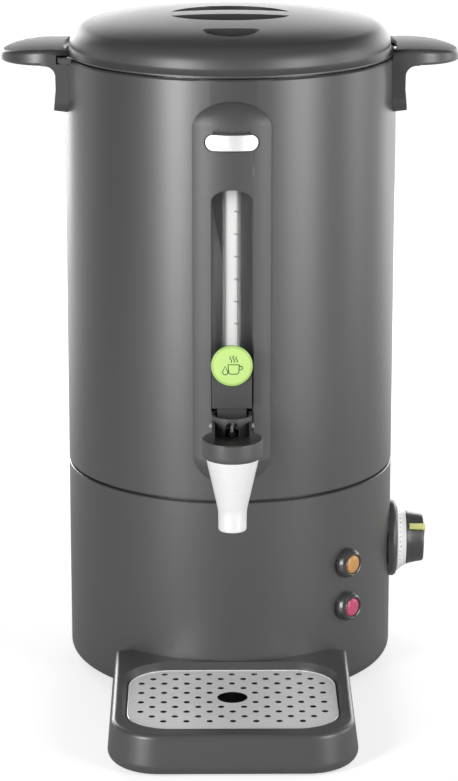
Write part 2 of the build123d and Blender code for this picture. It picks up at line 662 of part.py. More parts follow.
def lid_screws():
    z = LID_EDGE_Z + 3.2
    return group([rod(2.9, z - 1.6, z, x, y) + rod(1.5, z - 1.0, z + 1.25, x, y)
                  for x, y in lid_screw_places()])


def lid_seal():
    """Silicone ring between the lid and the vessel's rim."""
    return rod(SEAL_R_OUT, RIM_Z, LID_EDGE_Z + 2.9) - rod(SEAL_R_IN, RIM_Z - 1, LID_EDGE_Z + 4)


# ---- handles ----------------------------------------------------------------------------------------
def handle_screw_places():
    return [(side * BODY_R, y, z) for side in (-1, 1) for y in (-16, 16) for z in (392, 404)]


def left_handle():
    """Paddle with a leg down the shell; the lid's lug turns into the slot from the front."""
    tip, root, leg, b = -HANDLE_TIP_X, -HANDLE_ROOT_X, -LEG_X, HANDLE_HALF_W
    top, under, low = HANDLE_TOP_Z, HANDLE_UNDER_Z, LEG_BOTTOM_Z
    plan = make_face(Curve() + [
        Line((-90, -b), (root, -b)), Line((-90, b), (root, b)), Line((-90, -b), (-90, b)),
        EllipticalCenterArc((root, 0), root - tip, b, start_angle=90, arc_size=180),
    ])
    plan = extrude(Pos(0, 0, 370) * plan, 70)
    paddle = make_face(Curve() + [
        Line((-100, under), (-100, top)), Line((-100, top), (root, top)),
        ThreePointArc((root, top), (tip + 16, top - 1.1), (tip - 1, top - 4.2)),
        Line((tip - 1, top - 4.2), (tip - 1, under)), Line((tip - 1, under), (-100, under)),
    ])
    paddle = extrude(Plane.XZ * paddle, 60, both=True) & plan
    edges = [e for e in paddle.edges() if e.center().X < -100.1 and e.bounding_box().size.X > 1]
    paddle = fillet([e for e in edges if e.bounding_box().min.Z > top - 6], 3.4)
    edges = [e for e in paddle.edges() if e.center().X < -100.1 and e.bounding_box().size.X > 1]
    paddle = fillet([e for e in edges if e.bounding_box().max.Z < under + 0.01], 2.4)
    side = make_face(Polyline(
        (-100, low - 1.2), (-100, top - 6), (leg - 9, top - 6), (leg - 9, under), (leg, under),
        (leg + 0.2, 398), (leg - 1.2, low + 1.6), close=True))
    corner = side.vertices().sort_by(lambda v: (v.X - leg)**2 + (v.Y - under)**2)[0]
    handle = paddle + (extrude(Plane.XZ * fillet(corner, 7.0), 60, both=True) & plan)
    # seen from the side, the leg's lower corners are rounded
    handle &= extrude(Plane.YZ * Pos(0, low + 48.8) * RectangleRounded(2 * b, 100, 12), -200)
    handle -= rod(BODY_R + FIT, 370, SHELL_TOP_Z + 2.0)
    handle -= rod(BODY_R + 0.5, SHELL_TOP_Z, 440)
    slot = rod(LUG_R + 0.7, LUG_Z[0] - 1.5, LUG_Z[1] + 0.9)
    handle -= slot & block(-140, 0, -60, -1.0, 400, 430)
    for x, y, z in handle_screw_places():
        if x < 0:
            handle -= rod_x(2.0 + FIT, x - 3.0, x + 3, y, z)
    return handle


def right_handle():
    """The same moulding, turned half round, so its slot opens at the back."""
    return Rot(0, 0, 180) * left_handle()


def handle_screws():
    """Screws from inside the shell into the legs."""
    screws = []
    for x, y, z in handle_screw_places():
        side = 1 if x > 0 else -1
        wall = sqrt((BODY_R - SHELL_WALL)**2 - y**2) - 0.8
        x0, x1 = sorted((side * (wall - 2.2), side * wall))
        shank = sorted((side * (wall - 1.0), side * (BODY_R + 2.6)))
        screws.append(rod_x(3.6, x0, x1, y, z) + rod_x(2.0, *shank, y, z))
    return group(screws)


# ---- thermostat knob ----------------------------------------------------------------------------------
def about_x(points):
    """Solid of revolution about the knob's axis from (x, radius) points."""
    return Pos(0, 0, KNOB_Z) * Rot(0, 90, 0) * turned([(r, x) for x, r in points])


def knob_flange():
    x1 = FLANGE_X
    flange = about_x([(100, 0), (100, FLANGE_R - 0.8), (x1 - 2.6, FLANGE_R), (x1 - 0.6, FLANGE_R - 1.2),
                      (x1, FLANGE_R - 3.2), (x1, 0)])
    flange -= rod(BODY_R + FIT, 30, 130)
    return flange - rod_x(5.0, 90, 130, 0, KNOB_Z)


def dial_ring():
    """White ring that carries the scale, seated on the flange."""
    x0, x1 = FLANGE_X + FIT, DIAL_X
    return about_x([(x0, 4.2), (x0, DIAL_R[0]), (x0 + 0.6, DIAL_R[0]), (x0 + 3.2, DIAL_R[1]),
                    (x1, DIAL_R[2]), (x1, 4.2)])


def knob():
    """Turned grip, slightly waisted, on the thermostat's shaft."""
    x0, x1 = KNOB_X
    r0, r1 = KNOB_R
    grip = about_x([(x0, 0), (x0, r0), (x0 + 3, r0 - 0.9), (x0 + 7.5, r0 - 1.8), (x1 - 0.7, r1 - 0.1),
                    (x1, r1 - 0.8), (x1, 0)])
    grip -= pointer_blank(0.03)
    return grip - rod_x(SHAFT_R + 0.02, x0 - 1, x0 + 9.02, 0, KNOB_Z)


def pointer_blank(grow):
    """Bar let into the knob's side and end, along its pointer line."""
    x0, x1 = KNOB_X
    half = 2.0 + grow
    side = block(x0 + 1.9 - grow, x1 + 0.8, -KNOB_R[0] + 0.2, -KNOB_R[1] + 3.0 + grow, -half, half)
    end = block(x1 - 1.2 - grow, x1 + 0.8, -KNOB_R[1] + 1.0, -5.0 + grow, -half, half)
    return Pos(0, 0, KNOB_Z) * Rot(-POINTER_DEG, 0, 0) * (side + end)


def knob_pointer():
    return pointer_blank(0.0)


def thermostat_shaft():
    return rod_x(SHAFT_R, 84, KNOB_X[0] + 9, 0, KNOB_Z)


def thermostat():
    """Thermostat body on the inside of the base wall, with the bush that the shaft turns in."""
    body = block(72, 96, -17, 17, KNOB_Z - 17, KNOB_Z + 17) + rod_x(4.9, 95, 112.5, 0, KNOB_Z)
    return body - rod_x(SHAFT_R + FIT, 83.5, 114, 0, KNOB_Z)


# ---- lamps ----------------------------------------------------------------------------------------------
def lamp_turned(points):
    """A turned lamp piece, (distance from the urn's axis, radius) points, before it is placed."""
    return turned([(r, d) for d, r in points])


def lamp_bezels():
    """Bright rings round the lamps, with threaded barrels through the base wall."""
    face, bore = LAMP_FACE, 6.0 + FIT
    ring = lamp_turned([(100, bore), (100, LAMP_R), (face - 4.6, LAMP_R), (face - 1.9, LAMP_R - 1.0),
                        (face - 0.4, LAMP_R - 2.6), (face, LENS_R + 1.1), (face - 0.6, LENS_R),
                        (face - 3.6, LENS_R), (face - 3.6, bore)])
    made = []
    for z in LAMP_Z:
        made.append(outward(LAMP_DEG, z) * ring - rod(BODY_R + FIT, 20, 120))
    return group(made)


def lens(z):
    """Domed lens on a barrel that runs back through the wall."""
    face, edge = LAMP_FACE, LENS_R - FIT
    shape = lamp_turned([(98, 0), (98, 6.0), (face - 3.55, 6.0), (face - 3.55, edge), (face - 1.0, edge),
                         (face - 0.2, edge - 1.0), (face + 0.3, edge - 2.8), (face + 0.5, 0)])
    return outward(LAMP_DEG, z) * shape


def lens_amber():
    return lens(LAMP_Z[0])


def lens_red():
    return lens(LAMP_Z[1])


def lamp_nuts():
    """Nuts that clamp the lamps from inside the base."""
    ring = lamp_turned([(100.5, 6.0 + FIT), (100.5, 8.6), (103.5, 8.6), (103.5, 6.0 + FIT)])
    return group([outward(LAMP_DEG, z) * ring for z in LAMP_Z])


# ---- drip tray ------------------------------------------------------------------------------------
def tray_outline(half_w, front, back, corner):
    """Plan outline: widely rounded front corners, small ones at the back."""
    corners = [(-half_w, -front), (half_w, -front), (half_w, -back), (-half_w, -back)]
    shape = make_face(Polyline(*corners, close=True))
    shape = fillet(shape.vertices().sort_by(Axis.Y)[0:2], corner)
    return fillet(shape.vertices().sort_by(Axis.Y)[-2:], 5.0)


def grille_outline(inset):
    y0, y1 = GRILLE_Y
    size = (2 * (GRILLE_HALF_W - inset), y1 - y0 - 2 * inset)
    return Pos(0, (y0 + y1) / 2) * RectangleRounded(*size, GRILLE_CORNER_R - inset)


def tray_hook(side, grow=0.0):
    """Tongue on the tray's back that slides into a slot in the base."""
    x = side * 46
    return block(x - 7 - grow, x + 7 + grow, -112, -88 + 2 * grow, 10 - grow, 14 + grow)


def drip_tray():
    front = TRAY_FRONT
    height = TRAY_RIM_Z[0] + 2
    outline = tray_outline(TRAY_HALF_W, front, TRAY_BACK, TRAY_CORNER_R)
    body = extrude(Pos(0, 0, TRAY_BOTTOM_Z) * outline, height - TRAY_BOTTOM_Z, taper=TRAY_FLARE_DEG)
    low = body.edges().group_by(Axis.Z)[0].sort_by(Axis.Y)[:-3]
    body = fillet(low, 7.0)
    # the rim falls a little towards the front, and its outer edge is rolled
    fall = degrees(atan2(TRAY_RIM_Z[0] - TRAY_RIM_Z[1], front - BODY_R))
    body -= Pos(0, -BODY_R, TRAY_RIM_Z[0]) * Rot(fall, 0, 0) * Box(300, 400, 20, align=UP)
    rim = body.faces().sort_by(Axis.Z)[-1]
    body = fillet(rim.edges(), 3.4)
    # sloping border down to the grille's seat, then the basin
    seat = GRILLE_Z - GRILLE_T
    body -= extrude(Pos(0, 0, GRILLE_Z - 0.6) * grille_outline(-0.5), 12, taper=-38)
    body -= extrude(Pos(0, 0, seat) * grille_outline(-0.5), 4)
    basin = extrude(Pos(0, 0, 4.0) * grille_outline(8.0), seat - 4 + 1, taper=-9)
    basin &= extrude(Pos(0, 0, 0) * grille_outline(3.0), 60)
    body -= basin + extrude(Pos(0, 0, seat - 3.2) * grille_outline(3.0), 4)
    body -= rod(BODY_R + 0.4, -5, 60)
    for side in (-1, 1):
        hook = tray_hook(side) - rod(96, 0, 40)
        body += hook & block(-100, 100, -118, -88, 0, 40)
    return body


def tray_pads():
    """Rubber pads under the tray."""
    return group([rod(6, 0, TRAY_BOTTOM_Z - FIT, x, y) for x in (-50, 50) for y in (-205, -135)])


def grille():
    """Perforated plate with a turned-down rim; the big hole is under the spout."""
    seat = GRILLE_Z - GRILLE_T
    plate = extrude(Pos(0, 0, seat) * grille_outline(0.0), GRILLE_T)
    plate = chamfer(plate.edges().group_by(Axis.Z)[-1], 0.4)
    rim = extrude(Pos(0, 0, seat - 2.5) * grille_outline(3.4), 2.6)
    rim -= extrude(Pos(0, 0, seat - 3) * grille_outline(4.6), 4)
    plate += rim
    middle = (len(HOLE_ROWS) - 1) / 2
    holes = []
    for row, count in enumerate(HOLE_ROWS):
        y = -TAP_AXIS - (row - middle) * ROW_PITCH
        for i in range(count):
            x = (i - (count - 1) / 2) * HOLE_PITCH
            if x * x + (y + TAP_AXIS)**2 > (DRAIN_R + 3)**2:
                holes.append(Pos(x, y, 20) * extrude(RegularPolygon(HOLE_R, 8), 10))
    plate -= holes
    return plate - rod(DRAIN_R, 20, 30, 0, -TAP_AXIS)


NODES = {
    "outer_shell": outer_shell, "base_housing": base_housing, "base_plate": base_plate,
    "base_screws": base_screws, "feet": feet, "inner_vessel": inner_vessel,
    "heating_plate": heating_plate, "heating_element": heating_element, "thermal_cutout": thermal_cutout,
    "terminal_block": terminal_block, "cable_gland": cable_gland,
    "front_panel": front_panel, "badge_plate": badge_plate, "sight_tube": sight_tube,
    "tube_seals": tube_seals, "level_scale": level_scale,
    "tap_body": tap_body, "spout": spout, "tap_inlet": tap_inlet, "inlet_nut": inlet_nut,
    "inlet_gaskets": inlet_gaskets, "pivot_pin": pivot_pin, "lever_spring": lever_spring,
    "lever": lever, "lever_button": lever_button, "valve_stem": valve_stem, "valve_plug": valve_plug,
    "lid_shell": lid_shell, "lid_liner": lid_liner, "vent_insert": vent_insert, "lid_screws": lid_screws,
    "lid_seal": lid_seal, "left_handle": left_handle, "right_handle": right_handle,
    "handle_screws": handle_screws, "knob_flange": knob_flange, "dial_ring": dial_ring, "knob": knob,
    "knob_pointer": knob_pointer, "thermostat_shaft": thermostat_shaft, "thermostat": thermostat,
    "lamp_bezels": lamp_bezels, "lens_amber": lens_amber, "lens_red": lens_red, "lamp_nuts": lamp_nuts,
    "drip_tray": drip_tray, "tray_pads": tray_pads, "grille": grille,
}


def main():
    os.makedirs("parts", exist_ok=True)
    for name, make in NODES.items():
        export_step(make(), f"parts/{name}.step")


main()
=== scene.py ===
# %% [markdown]
# # A hot water urn, dressed in Blender
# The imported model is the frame: every piece is already at its real size and place, in metres.
# Here each surface gets its finish, and the pieces that a solid model keeps plain are made again.
# The front of the urn faces -Y, its thermostat knob is on +X, and it stands on z = 0.

# %% Load the frame
import json
import math

import bmesh
import bpy
from mathutils import Matrix, Vector


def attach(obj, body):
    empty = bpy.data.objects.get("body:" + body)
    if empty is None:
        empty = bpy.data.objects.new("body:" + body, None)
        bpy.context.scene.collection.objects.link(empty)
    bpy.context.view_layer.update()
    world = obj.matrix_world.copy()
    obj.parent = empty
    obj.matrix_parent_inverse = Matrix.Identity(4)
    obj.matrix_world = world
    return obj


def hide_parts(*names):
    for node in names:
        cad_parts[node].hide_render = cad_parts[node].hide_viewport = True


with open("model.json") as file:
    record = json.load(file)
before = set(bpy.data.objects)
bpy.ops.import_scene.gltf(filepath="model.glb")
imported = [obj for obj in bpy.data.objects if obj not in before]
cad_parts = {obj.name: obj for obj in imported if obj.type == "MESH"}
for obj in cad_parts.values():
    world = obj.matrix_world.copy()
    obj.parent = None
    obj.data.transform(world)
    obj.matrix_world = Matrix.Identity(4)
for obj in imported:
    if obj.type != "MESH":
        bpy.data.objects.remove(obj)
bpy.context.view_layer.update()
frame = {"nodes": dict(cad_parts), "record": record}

MM = 0.001
scene = bpy.context.scene
body_of = {node: body for body, nodes in frame["record"]["behaviour"]["bodies"].items() for node in nodes}
slot_of = {part["node"]: part["material_slot"] for part in frame["record"]["subparts"]}


# %% A helper for new objects
def new_object(name, data):
    """An object of the scene, at the origin."""
    made = bpy.data.objects.new(name, data)
    scene.collection.objects.link(made)
    return made


# %% [markdown]
# ## The camera
# A long lens from about two metres away, looking down on the urn by fifteen degrees, a little from
# the left. A long lens keeps the shell's sides nearly parallel, where a short one would make the urn
# look narrow at its foot.

# %% Camera
CAMERA_PLACE = Vector((-0.018, -2.021, 0.748))
CAMERA_TILT = 15.56          # degrees below the horizon
CAMERA_LENS = 141.8
SENSOR_WIDTH = 36.0
CAMERA_PAN = 0.00039         # radians to the left, which centres the urn between its handle and knob

camera_data = bpy.data.cameras.new("camera")
camera_data.lens = CAMERA_LENS
camera_data.sensor_width = SENSOR_WIDTH
camera = new_object("camera", camera_data)
scene.camera = camera
turn = math.atan2(-CAMERA_PLACE.x, -CAMERA_PLACE.y)
aim = Matrix.Rotation(CAMERA_PAN - turn, 4, "Z") @ Matrix.Rotation(math.radians(90 - CAMERA_TILT), 4, "X")
camera.matrix_world = Matrix.Translation(CAMERA_PLACE) @ aim
print("camera", tuple(round(v, 3) for v in camera.location))

# %% [markdown]
# ## The studio
# A dark satin body shows its form only by what it mirrors, so the studio is mostly tall narrow lamps:
# one ahead on the left and one ahead on the right draw the two upright bands of light down the shell,
# a third on the right gives the lighter right edge, and two at the back light the other sides. A wide
# lamp behind shines over the lid and the handles. What the eye sees around the urn is white, but the
# surfaces mirror only a low band of it behind the urn and a dim ceiling, so the paint keeps its depth.


# %% Node helpers
def new_material(name):
    material = bpy.data.materials.new(name)
    material.use_nodes = True
    tree = material.node_tree
    return material, tree, tree.nodes["Principled BSDF"]


def link(tree, out, into):
    tree.links.new(out, into)


def feed(tree, value, socket):
    """Set a socket to a number, or link another socket to it."""
    if isinstance(value, (int, float)):
        socket.default_value = value
    else:
        link(tree, value, socket)


def coordinates(tree, kind="Object"):
    return tree.nodes.new("ShaderNodeTexCoord").outputs[kind]


def apart(tree, vector):
    """The X, Y and Z of a vector."""
    node = tree.nodes.new("ShaderNodeSeparateXYZ")
    link(tree, vector, node.inputs[0])
    return node.outputs


def math_node(tree, operation, a, b=0.0):
    """A Math node whose values are sockets or numbers."""
    node = tree.nodes.new("ShaderNodeMath")
    node.operation = operation
    feed(tree, a, node.inputs[0])
    feed(tree, b, node.inputs[1])
    return node.outputs[0]


def fade(tree, value, over, to=(0.0, 1.0)):
    """A value eased from the first to the second of to while the input goes over a range."""
    node = tree.nodes.new("ShaderNodeMapRange")
    node.interpolation_type = "SMOOTHSTEP"
    for socket, number in zip(("From Min", "From Max", "To Min", "To Max"), (*over, *to)):
        node.inputs[socket].default_value = number
    link(tree, value, node.inputs["Value"])
    return node.outputs["Result"]


# %% World
BACKDROP_STARTS = (-0.2, 0.6)      # the mirrored backdrop comes up over this much of the way to +Y
BACKDROP_ENDS = (0.18, 0.38)       # and goes out over this much of the way up
CEILING_STARTS = (0.55, 0.9)
CEILING_GLOW = 0.22
DIFFUSE_FILL = 0.05


def make_world():
    """White to the eye and through glass, a low backdrop and a dim ceiling to gloss."""
    world = bpy.data.worlds.new("studio")
    world.use_nodes = True
    tree = world.node_tree
    path = tree.nodes.new("ShaderNodeLightPath").outputs
    direction = apart(tree, coordinates(tree, "Generated"))
    behind = fade(tree, direction["Y"], BACKDROP_STARTS)
    low_down = fade(tree, direction["Z"], BACKDROP_ENDS, (1.0, 0.0))
    backdrop = math_node(tree, "MULTIPLY", behind, low_down)
    ceiling = fade(tree, direction["Z"], CEILING_STARTS, (0.0, CEILING_GLOW))
    mirrored = math_node(tree, "ADD", backdrop, ceiling)
    in_gloss = math_node(tree, "MULTIPLY", mirrored, path["Is Glossy Ray"])
    plain_fill = math_node(tree, "MULTIPLY", path["Is Diffuse Ray"], DIFFUSE_FILL)
    seen = math_node(tree, "MAXIMUM", path["Is Camera Ray"], path["Is Transmission Ray"])
    strength = math_node(tree, "ADD", math_node(tree, "ADD", in_gloss, plain_fill), seen)
    background = tree.nodes["Background"]
    background.inputs["Color"].default_value = (1, 1, 1, 1)
    link(tree, strength, background.inputs["Strength"])
    return world


scene.world = make_world()
print("world:", scene.world.name)

# %% Floor
FLOOR_HALF = 6.0
FLOOR_GREY = 0.60
GLOW_RADII = (0.28, 0.70)          # the floor's own white comes up with the distance from the urn
GLOW_SEEN = (0.62, 1.0)
GLOSS_FROM_Y = (0.2, 0.9)          # and in mirrored rays only behind the urn
GLOSS_GLOW = (0.03, 0.9)


def make_floor():
    """A pale floor that keeps the urn's shadow near it and runs into the white around."""
    mesh = bpy.data.meshes.new("floor")
    corners = [(-FLOOR_HALF, -FLOOR_HALF, 0), (FLOOR_HALF, -FLOOR_HALF, 0),
               (FLOOR_HALF, FLOOR_HALF, 0), (-FLOOR_HALF, FLOOR_HALF, 0)]
    mesh.from_pydata(corners, [], [(0, 1, 2, 3)])
    material, tree, shader = new_material("floor_paint")
    shader.inputs["Base Color"].default_value = (FLOOR_GREY, FLOOR_GREY, FLOOR_GREY, 1)
    shader.inputs["Roughness"].default_value = 0.9
    shader.inputs["Specular IOR Level"].default_value = 0.1
    shader.inputs["Emission Color"].default_value = (1, 1, 1, 1)
    path = tree.nodes.new("ShaderNodeLightPath").outputs
    reach = tree.nodes.new("ShaderNodeVectorMath")
    reach.operation = "LENGTH"
    link(tree, coordinates(tree), reach.inputs[0])
    glow = fade(tree, reach.outputs["Value"], GLOW_RADII, GLOW_SEEN)
    seen = math_node(tree, "MULTIPLY", glow, path["Is Camera Ray"])
    gloss = fade(tree, apart(tree, coordinates(tree))["Y"], GLOSS_FROM_Y, GLOSS_GLOW)
    in_gloss = math_node(tree, "MULTIPLY", gloss, path["Is Glossy Ray"])
    link(tree, math_node(tree, "ADD", seen, in_gloss), shader.inputs["Emission Strength"])
    mesh.materials.append(material)
    return new_object("floor", mesh)


floor = make_floor()
print("floor:", 2 * FLOOR_HALF, "m wide")


# %% Lamps
def lamp(name, place, target, width, height, watts):
    """A soft rectangular lamp that faces a target."""
    data = bpy.data.lights.new(name, "AREA")
    data.shape = "RECTANGLE"
    data.size, data.size_y, data.energy = width, height, watts
    made = new_object(name, data)
    made.location = place
    made.rotation_euler = (Vector(target) - Vector(place)).to_track_quat("-Z", "Y").to_euler()
    made.visible_camera = False
    return made


def around(azimuth, distance, height):
    """A place round the urn: azimuth from the front towards the right."""
    a = math.radians(azimuth)
    return (distance * math.sin(a), -distance * math.cos(a), height)


URN_MIDDLE = (0, 0, 0.24)
STRIP_DISTANCE, STRIP_Z, STRIP_HEIGHT = 1.35, 0.47, 0.92
STRIPS = {                        # azimuth, width in metres, watts
    "strip_left": (-36, 0.32, 15.0), "strip_right": (47, 0.50, 10.5), "side_right": (92, 0.40, 4.2),
    "back_left": (-150, 0.36, 4.5), "back_right": (135, 0.36, 2.2)}
WIDE_Y, WIDE_Z = 1.60, 0.54
for name, (azimuth, width, watts) in STRIPS.items():
    lamp(name, around(azimuth, STRIP_DISTANCE, STRIP_Z), URN_MIDDLE, width, STRIP_HEIGHT, watts)
lamp("behind", (0, WIDE_Y, WIDE_Z), (0, 0, WIDE_Z), width=2.4, height=0.84, watts=25.0)
scene.view_settings.view_transform = "Standard"
print("lamps:", len(STRIPS) + 1)

# %% [markdown]
# ## Shared finishes
# Two effects turn up in many finishes, so each is a node group. `moulded_grain` is the fine pebble of
# powder coat and moulded plastic: a slight play of colour and roughness and a tiny bump. `drawn_lines`
# is the grain of brushed steel: noise stretched along one direction. They give out only values that
# change over the surface, and the shader itself stays in each material.

# %% Node group helpers
FLOAT, COLOUR, VECTOR = "NodeSocketFloat", "NodeSocketColor", "NodeSocketVector"


def new_group(name, inputs, outputs):
    """A shader node group with named sockets: {name: (socket type, default)}."""
    group = bpy.data.node_groups.new(name, "ShaderNodeTree")
    for socket, (kind, default) in inputs.items():
        made = group.interface.new_socket(socket, in_out="INPUT", socket_type=kind)
        made.default_value = default
    for socket, kind in outputs.items():
        group.interface.new_socket(socket, in_out="OUTPUT", socket_type=kind)
    return group, group.nodes.new("NodeGroupInput").outputs, group.nodes.new("NodeGroupOutput").inputs


def noise(tree, place, scale, detail):
    node = tree.nodes.new("ShaderNodeTexNoise")
    node.inputs["Detail"].default_value = detail
    link(tree, place, node.inputs["Vector"])
    feed(tree, scale, node.inputs["Scale"])
    return node.outputs["Fac"]


def played(tree, value, pattern, amount):
    """A value plus a pattern, centred on zero, times an amount."""
    return math_node(tree, "ADD", value, math_node(tree, "MULTIPLY", pattern, amount))


def shade_of(tree, colour, pattern, amount):
    """The colour made darker and lighter over the surface."""
    scale = tree.nodes.new("ShaderNodeVectorMath")
    scale.operation = "SCALE"
    link(tree, colour, scale.inputs[0])
    link(tree, played(tree, 1.0, pattern, amount), scale.inputs["Scale"])
    return scale.outputs["Vector"]


def bumped(tree, height, depth):
    bump = tree.nodes.new("ShaderNodeBump")
    bump.inputs["Strength"].default_value = 1.0
    link(tree, depth, bump.inputs["Distance"])
    link(tree, height, bump.inputs["Height"])
    return bump.outputs["Normal"]


# %% Moulded grain
BROAD_SCALE = 22.0           # patches about 45 mm wide


def make_moulded_grain():
    group, given, out = new_group(
        "moulded_grain",
        {"Colour": (COLOUR, (0.1, 0.1, 0.1, 1)), "Grain Scale": (FLOAT, 900.0), "Play": (FLOAT, 0.05),
         "Roughness": (FLOAT, 0.45), "Roughness Play": (FLOAT, 0.06), "Depth": (FLOAT, 0.04 * MM)},
        {"Colour": COLOUR, "Roughness": FLOAT, "Normal": VECTOR})
    place = coordinates(group)
    fine = noise(group, place, given["Grain Scale"], 2.0)
    patches = math_node(group, "SUBTRACT", noise(group, place, BROAD_SCALE, 2.0), 0.5)
    speckle = math_node(group, "SUBTRACT", fine, 0.5)
    link(group, shade_of(group, given["Colour"], patches, given["Play"]), out["Colour"])
    link(group, played(group, given["Roughness"], speckle, given["Roughness Play"]), out["Roughness"])
    link(group, bumped(group, fine, given["Depth"]), out["Normal"])
    return group


# %% Drawn lines
def make_drawn_lines():
    group, given, out = new_group(
        "drawn_lines",
        {"Colour": (COLOUR, (0.7, 0.7, 0.7, 1)), "Stretch": (VECTOR, (8.0, 900.0, 900.0)),
         "Play": (FLOAT, 0.12), "Roughness": (FLOAT, 0.28), "Roughness Play": (FLOAT, 0.15),
         "Depth": (FLOAT, 0.02 * MM)},
        {"Colour": COLOUR, "Roughness": FLOAT, "Normal": VECTOR})
    mapping = group.nodes.new("ShaderNodeMapping")
    link(group, coordinates(group), mapping.inputs["Vector"])
    link(group, given["Stretch"], mapping.inputs["Scale"])
    lines = noise(group, mapping.outputs["Vector"], 1.0, 4.0)
    centred = math_node(group, "SUBTRACT", lines, 0.5)
    link(group, shade_of(group, given["Colour"], centred, given["Play"]), out["Colour"])
    link(group, played(group, given["Roughness"], centred, given["Roughness Play"]), out["Roughness"])
    link(group, bumped(group, lines, given["Depth"]), out["Normal"])
    return group


MOULDED_GRAIN = make_moulded_grain()
DRAWN_LINES = make_drawn_lines()
print("shared effects:", MOULDED_GRAIN.name, DRAWN_LINES.name)


# %% Material makers
def finish_with(name, group, values, shader_values):
    """A Principled material whose colour, roughness and normal come from a shared group."""
    material, tree, shader = new_material(name)
    effect = tree.nodes.new("ShaderNodeGroup")
    effect.node_tree = group
    for socket, value in values.items():
        effect.inputs[socket].default_value = value
    link(tree, effect.outputs["Colour"], shader.inputs["Base Color"])
    link(tree, effect.outputs["Roughness"], shader.inputs["Roughness"])
    link(tree, effect.outputs["Normal"], shader.inputs["Normal"])
    for socket, value in shader_values.items():
        shader.inputs[socket].default_value = value
    return material


def grey(value):
    """A grey with the faintest cool tint."""
    return (value, value, value * 1.01, 1)


def moulded(name, colour, rough, scale=900.0, depth=0.03, play=0.06, specular=0.5):
    """A moulding or a coat: scale in grains per metre, depth in millimetres."""
    values = {"Colour": colour, "Grain Scale": scale, "Play": play, "Roughness": rough, "Depth": depth * MM}
    return finish_with(name, MOULDED_GRAIN, values, {"Specular IOR Level": specular})


def drawn(name, colour, rough, stretch, depth=0.02, play=0.12, metallic=1.0):
    """A metal: the lines run along the axis on which the pattern's scale, the stretch, is small."""
    values = {"Colour": colour, "Stretch": stretch, "Play": play, "Roughness": rough, "Depth": depth * MM}
    return finish_with(name, DRAWN_LINES, values, {"Metallic": metallic})


# %% [markdown]
# ## The finishes
# The shell and base wear one dark grey powder coat, and the mouldings are nearly the same grey in
# plastic. A satin grey that mirrors a strip lamp needs a strong specular level, or it looks like chalk.
# The sheet steel is brushed along X, and the fine lines of the spout run round it. The bright steel
# is only partly metallic: as a full mirror it would show the dark urn beside it and turn nearly black.

# %% Finishes by material slot
LIME = (0.54, 0.755, 0.243, 1)
finishes = {
    "body_paint": moulded("powder_coat", grey(0.058), 0.37, 1400.0, 0.02, specular=0.9),
    "panel_plastic": moulded("panel_moulding", grey(0.062), 0.46, 1100.0, 0.01, specular=0.7),
    "black_plastic": moulded("grey_moulding", grey(0.06), 0.38, 1100.0, 0.02, specular=0.9),
    "stainless": drawn("brushed_steel", grey(0.90), 0.36, (10.0, 1200.0, 1200.0), metallic=0.8),
    "plated_steel": drawn("zinc_plate", (0.62, 0.63, 0.64, 1), 0.38, (300.0, 300.0, 300.0)),
    "bright_trim": drawn("bright_plate", grey(0.90), 0.48, (200.0, 200.0, 200.0), play=0.04, metallic=0.7),
    "cast_aluminium": drawn("cast_aluminium", (0.66, 0.66, 0.66, 1), 0.5, (260.0, 260.0, 260.0), 0.1),
    "silicone": moulded("silicone", (0.62, 0.62, 0.6, 1), 0.5, 500.0, 0.02),
    "black_rubber": moulded("rubber", (0.03, 0.03, 0.03, 1), 0.75, 1200.0, 0.05),
    "white_plastic": moulded("white_moulding", (0.93, 0.93, 0.92, 1), 0.35, 800.0, 0.01, 0.02),
    "cream_plastic": moulded("thermoset", (0.7, 0.64, 0.5, 1), 0.45),
    "green_plastic": moulded("lime_moulding", LIME, 0.28, 700.0, 0.01, 0.03),
    "amber_lens": moulded("amber_lens", (0.56, 0.285, 0.095, 1), 0.24, 420.0, 0.08, 0.3),
    "red_lens": moulded("red_lens", (0.54, 0.074, 0.16, 1), 0.24, 420.0, 0.08, 0.3),
}
print("finishes:", len(finishes))


# %% The level tube's glass
def clear_glass():
    """Thin glass. A solid one would shade the white strip behind it, so most light passes straight."""
    material, _, shader = new_material("clear_tube")
    shader.inputs["Base Color"].default_value = (0.995, 1.0, 1.0, 1)
    shader.inputs["Transmission Weight"].default_value = 1.0
    shader.inputs["IOR"].default_value = 1.20
    shader.inputs["Roughness"].default_value = 0.03
    shader.inputs["Alpha"].default_value = 0.18
    return material


finishes["clear_tube"] = clear_glass()
print("glass:", finishes["clear_tube"].name)

# %% Finishes of single pieces
own_finish = {
    "spout": drawn("polished_steel", grey(0.95), 0.32, (30.0, 30.0, 1800.0), 0.01, 0.10, metallic=0.35),
    "valve_stem": drawn("stem_steel", grey(0.92), 0.30, (500.0, 500.0, 12.0), 0.01, 0.06, metallic=0.4),
    "lamp_bezels": moulded("bezel_moulding", grey(0.045), 0.28, 1100.0, 0.01, specular=0.9),
    "tap_body": moulded("tap_moulding", grey(0.068), 0.50, 1100.0, 0.02, specular=0.7),
    "lid_shell": moulded("lid_moulding", grey(0.056), 0.44, 1100.0, 0.02, specular=0.9),
    "knob_pointer": moulded("pointer_yellow", (0.95, 0.98, 0.38, 1), 0.3, 700.0, 0.01, 0.03),
    "knob": moulded("knob_moulding", grey(0.062), 0.34, 1100.0, 0.01, specular=0.6),
}
mark_grey = moulded("printed_mark", grey(0.05), 0.5, 2000.0, 0.002, 0.02)
print("finishes of single pieces:", len(own_finish))

# %% [markdown]
# ## Smooth skins
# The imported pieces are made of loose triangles, so a round wall would show its facets. A skin is a
# copy of the piece with its triangles joined, its coplanar triangles merged and its normals smoothed
# up to the edges. The copy rides where the piece rides and stands in for it.

# %% Skin helpers
MERGE_WITHIN = 0.002 * MM
COPLANAR_ANGLE = math.radians(0.3)
EDGE_ANGLE = math.radians(28)


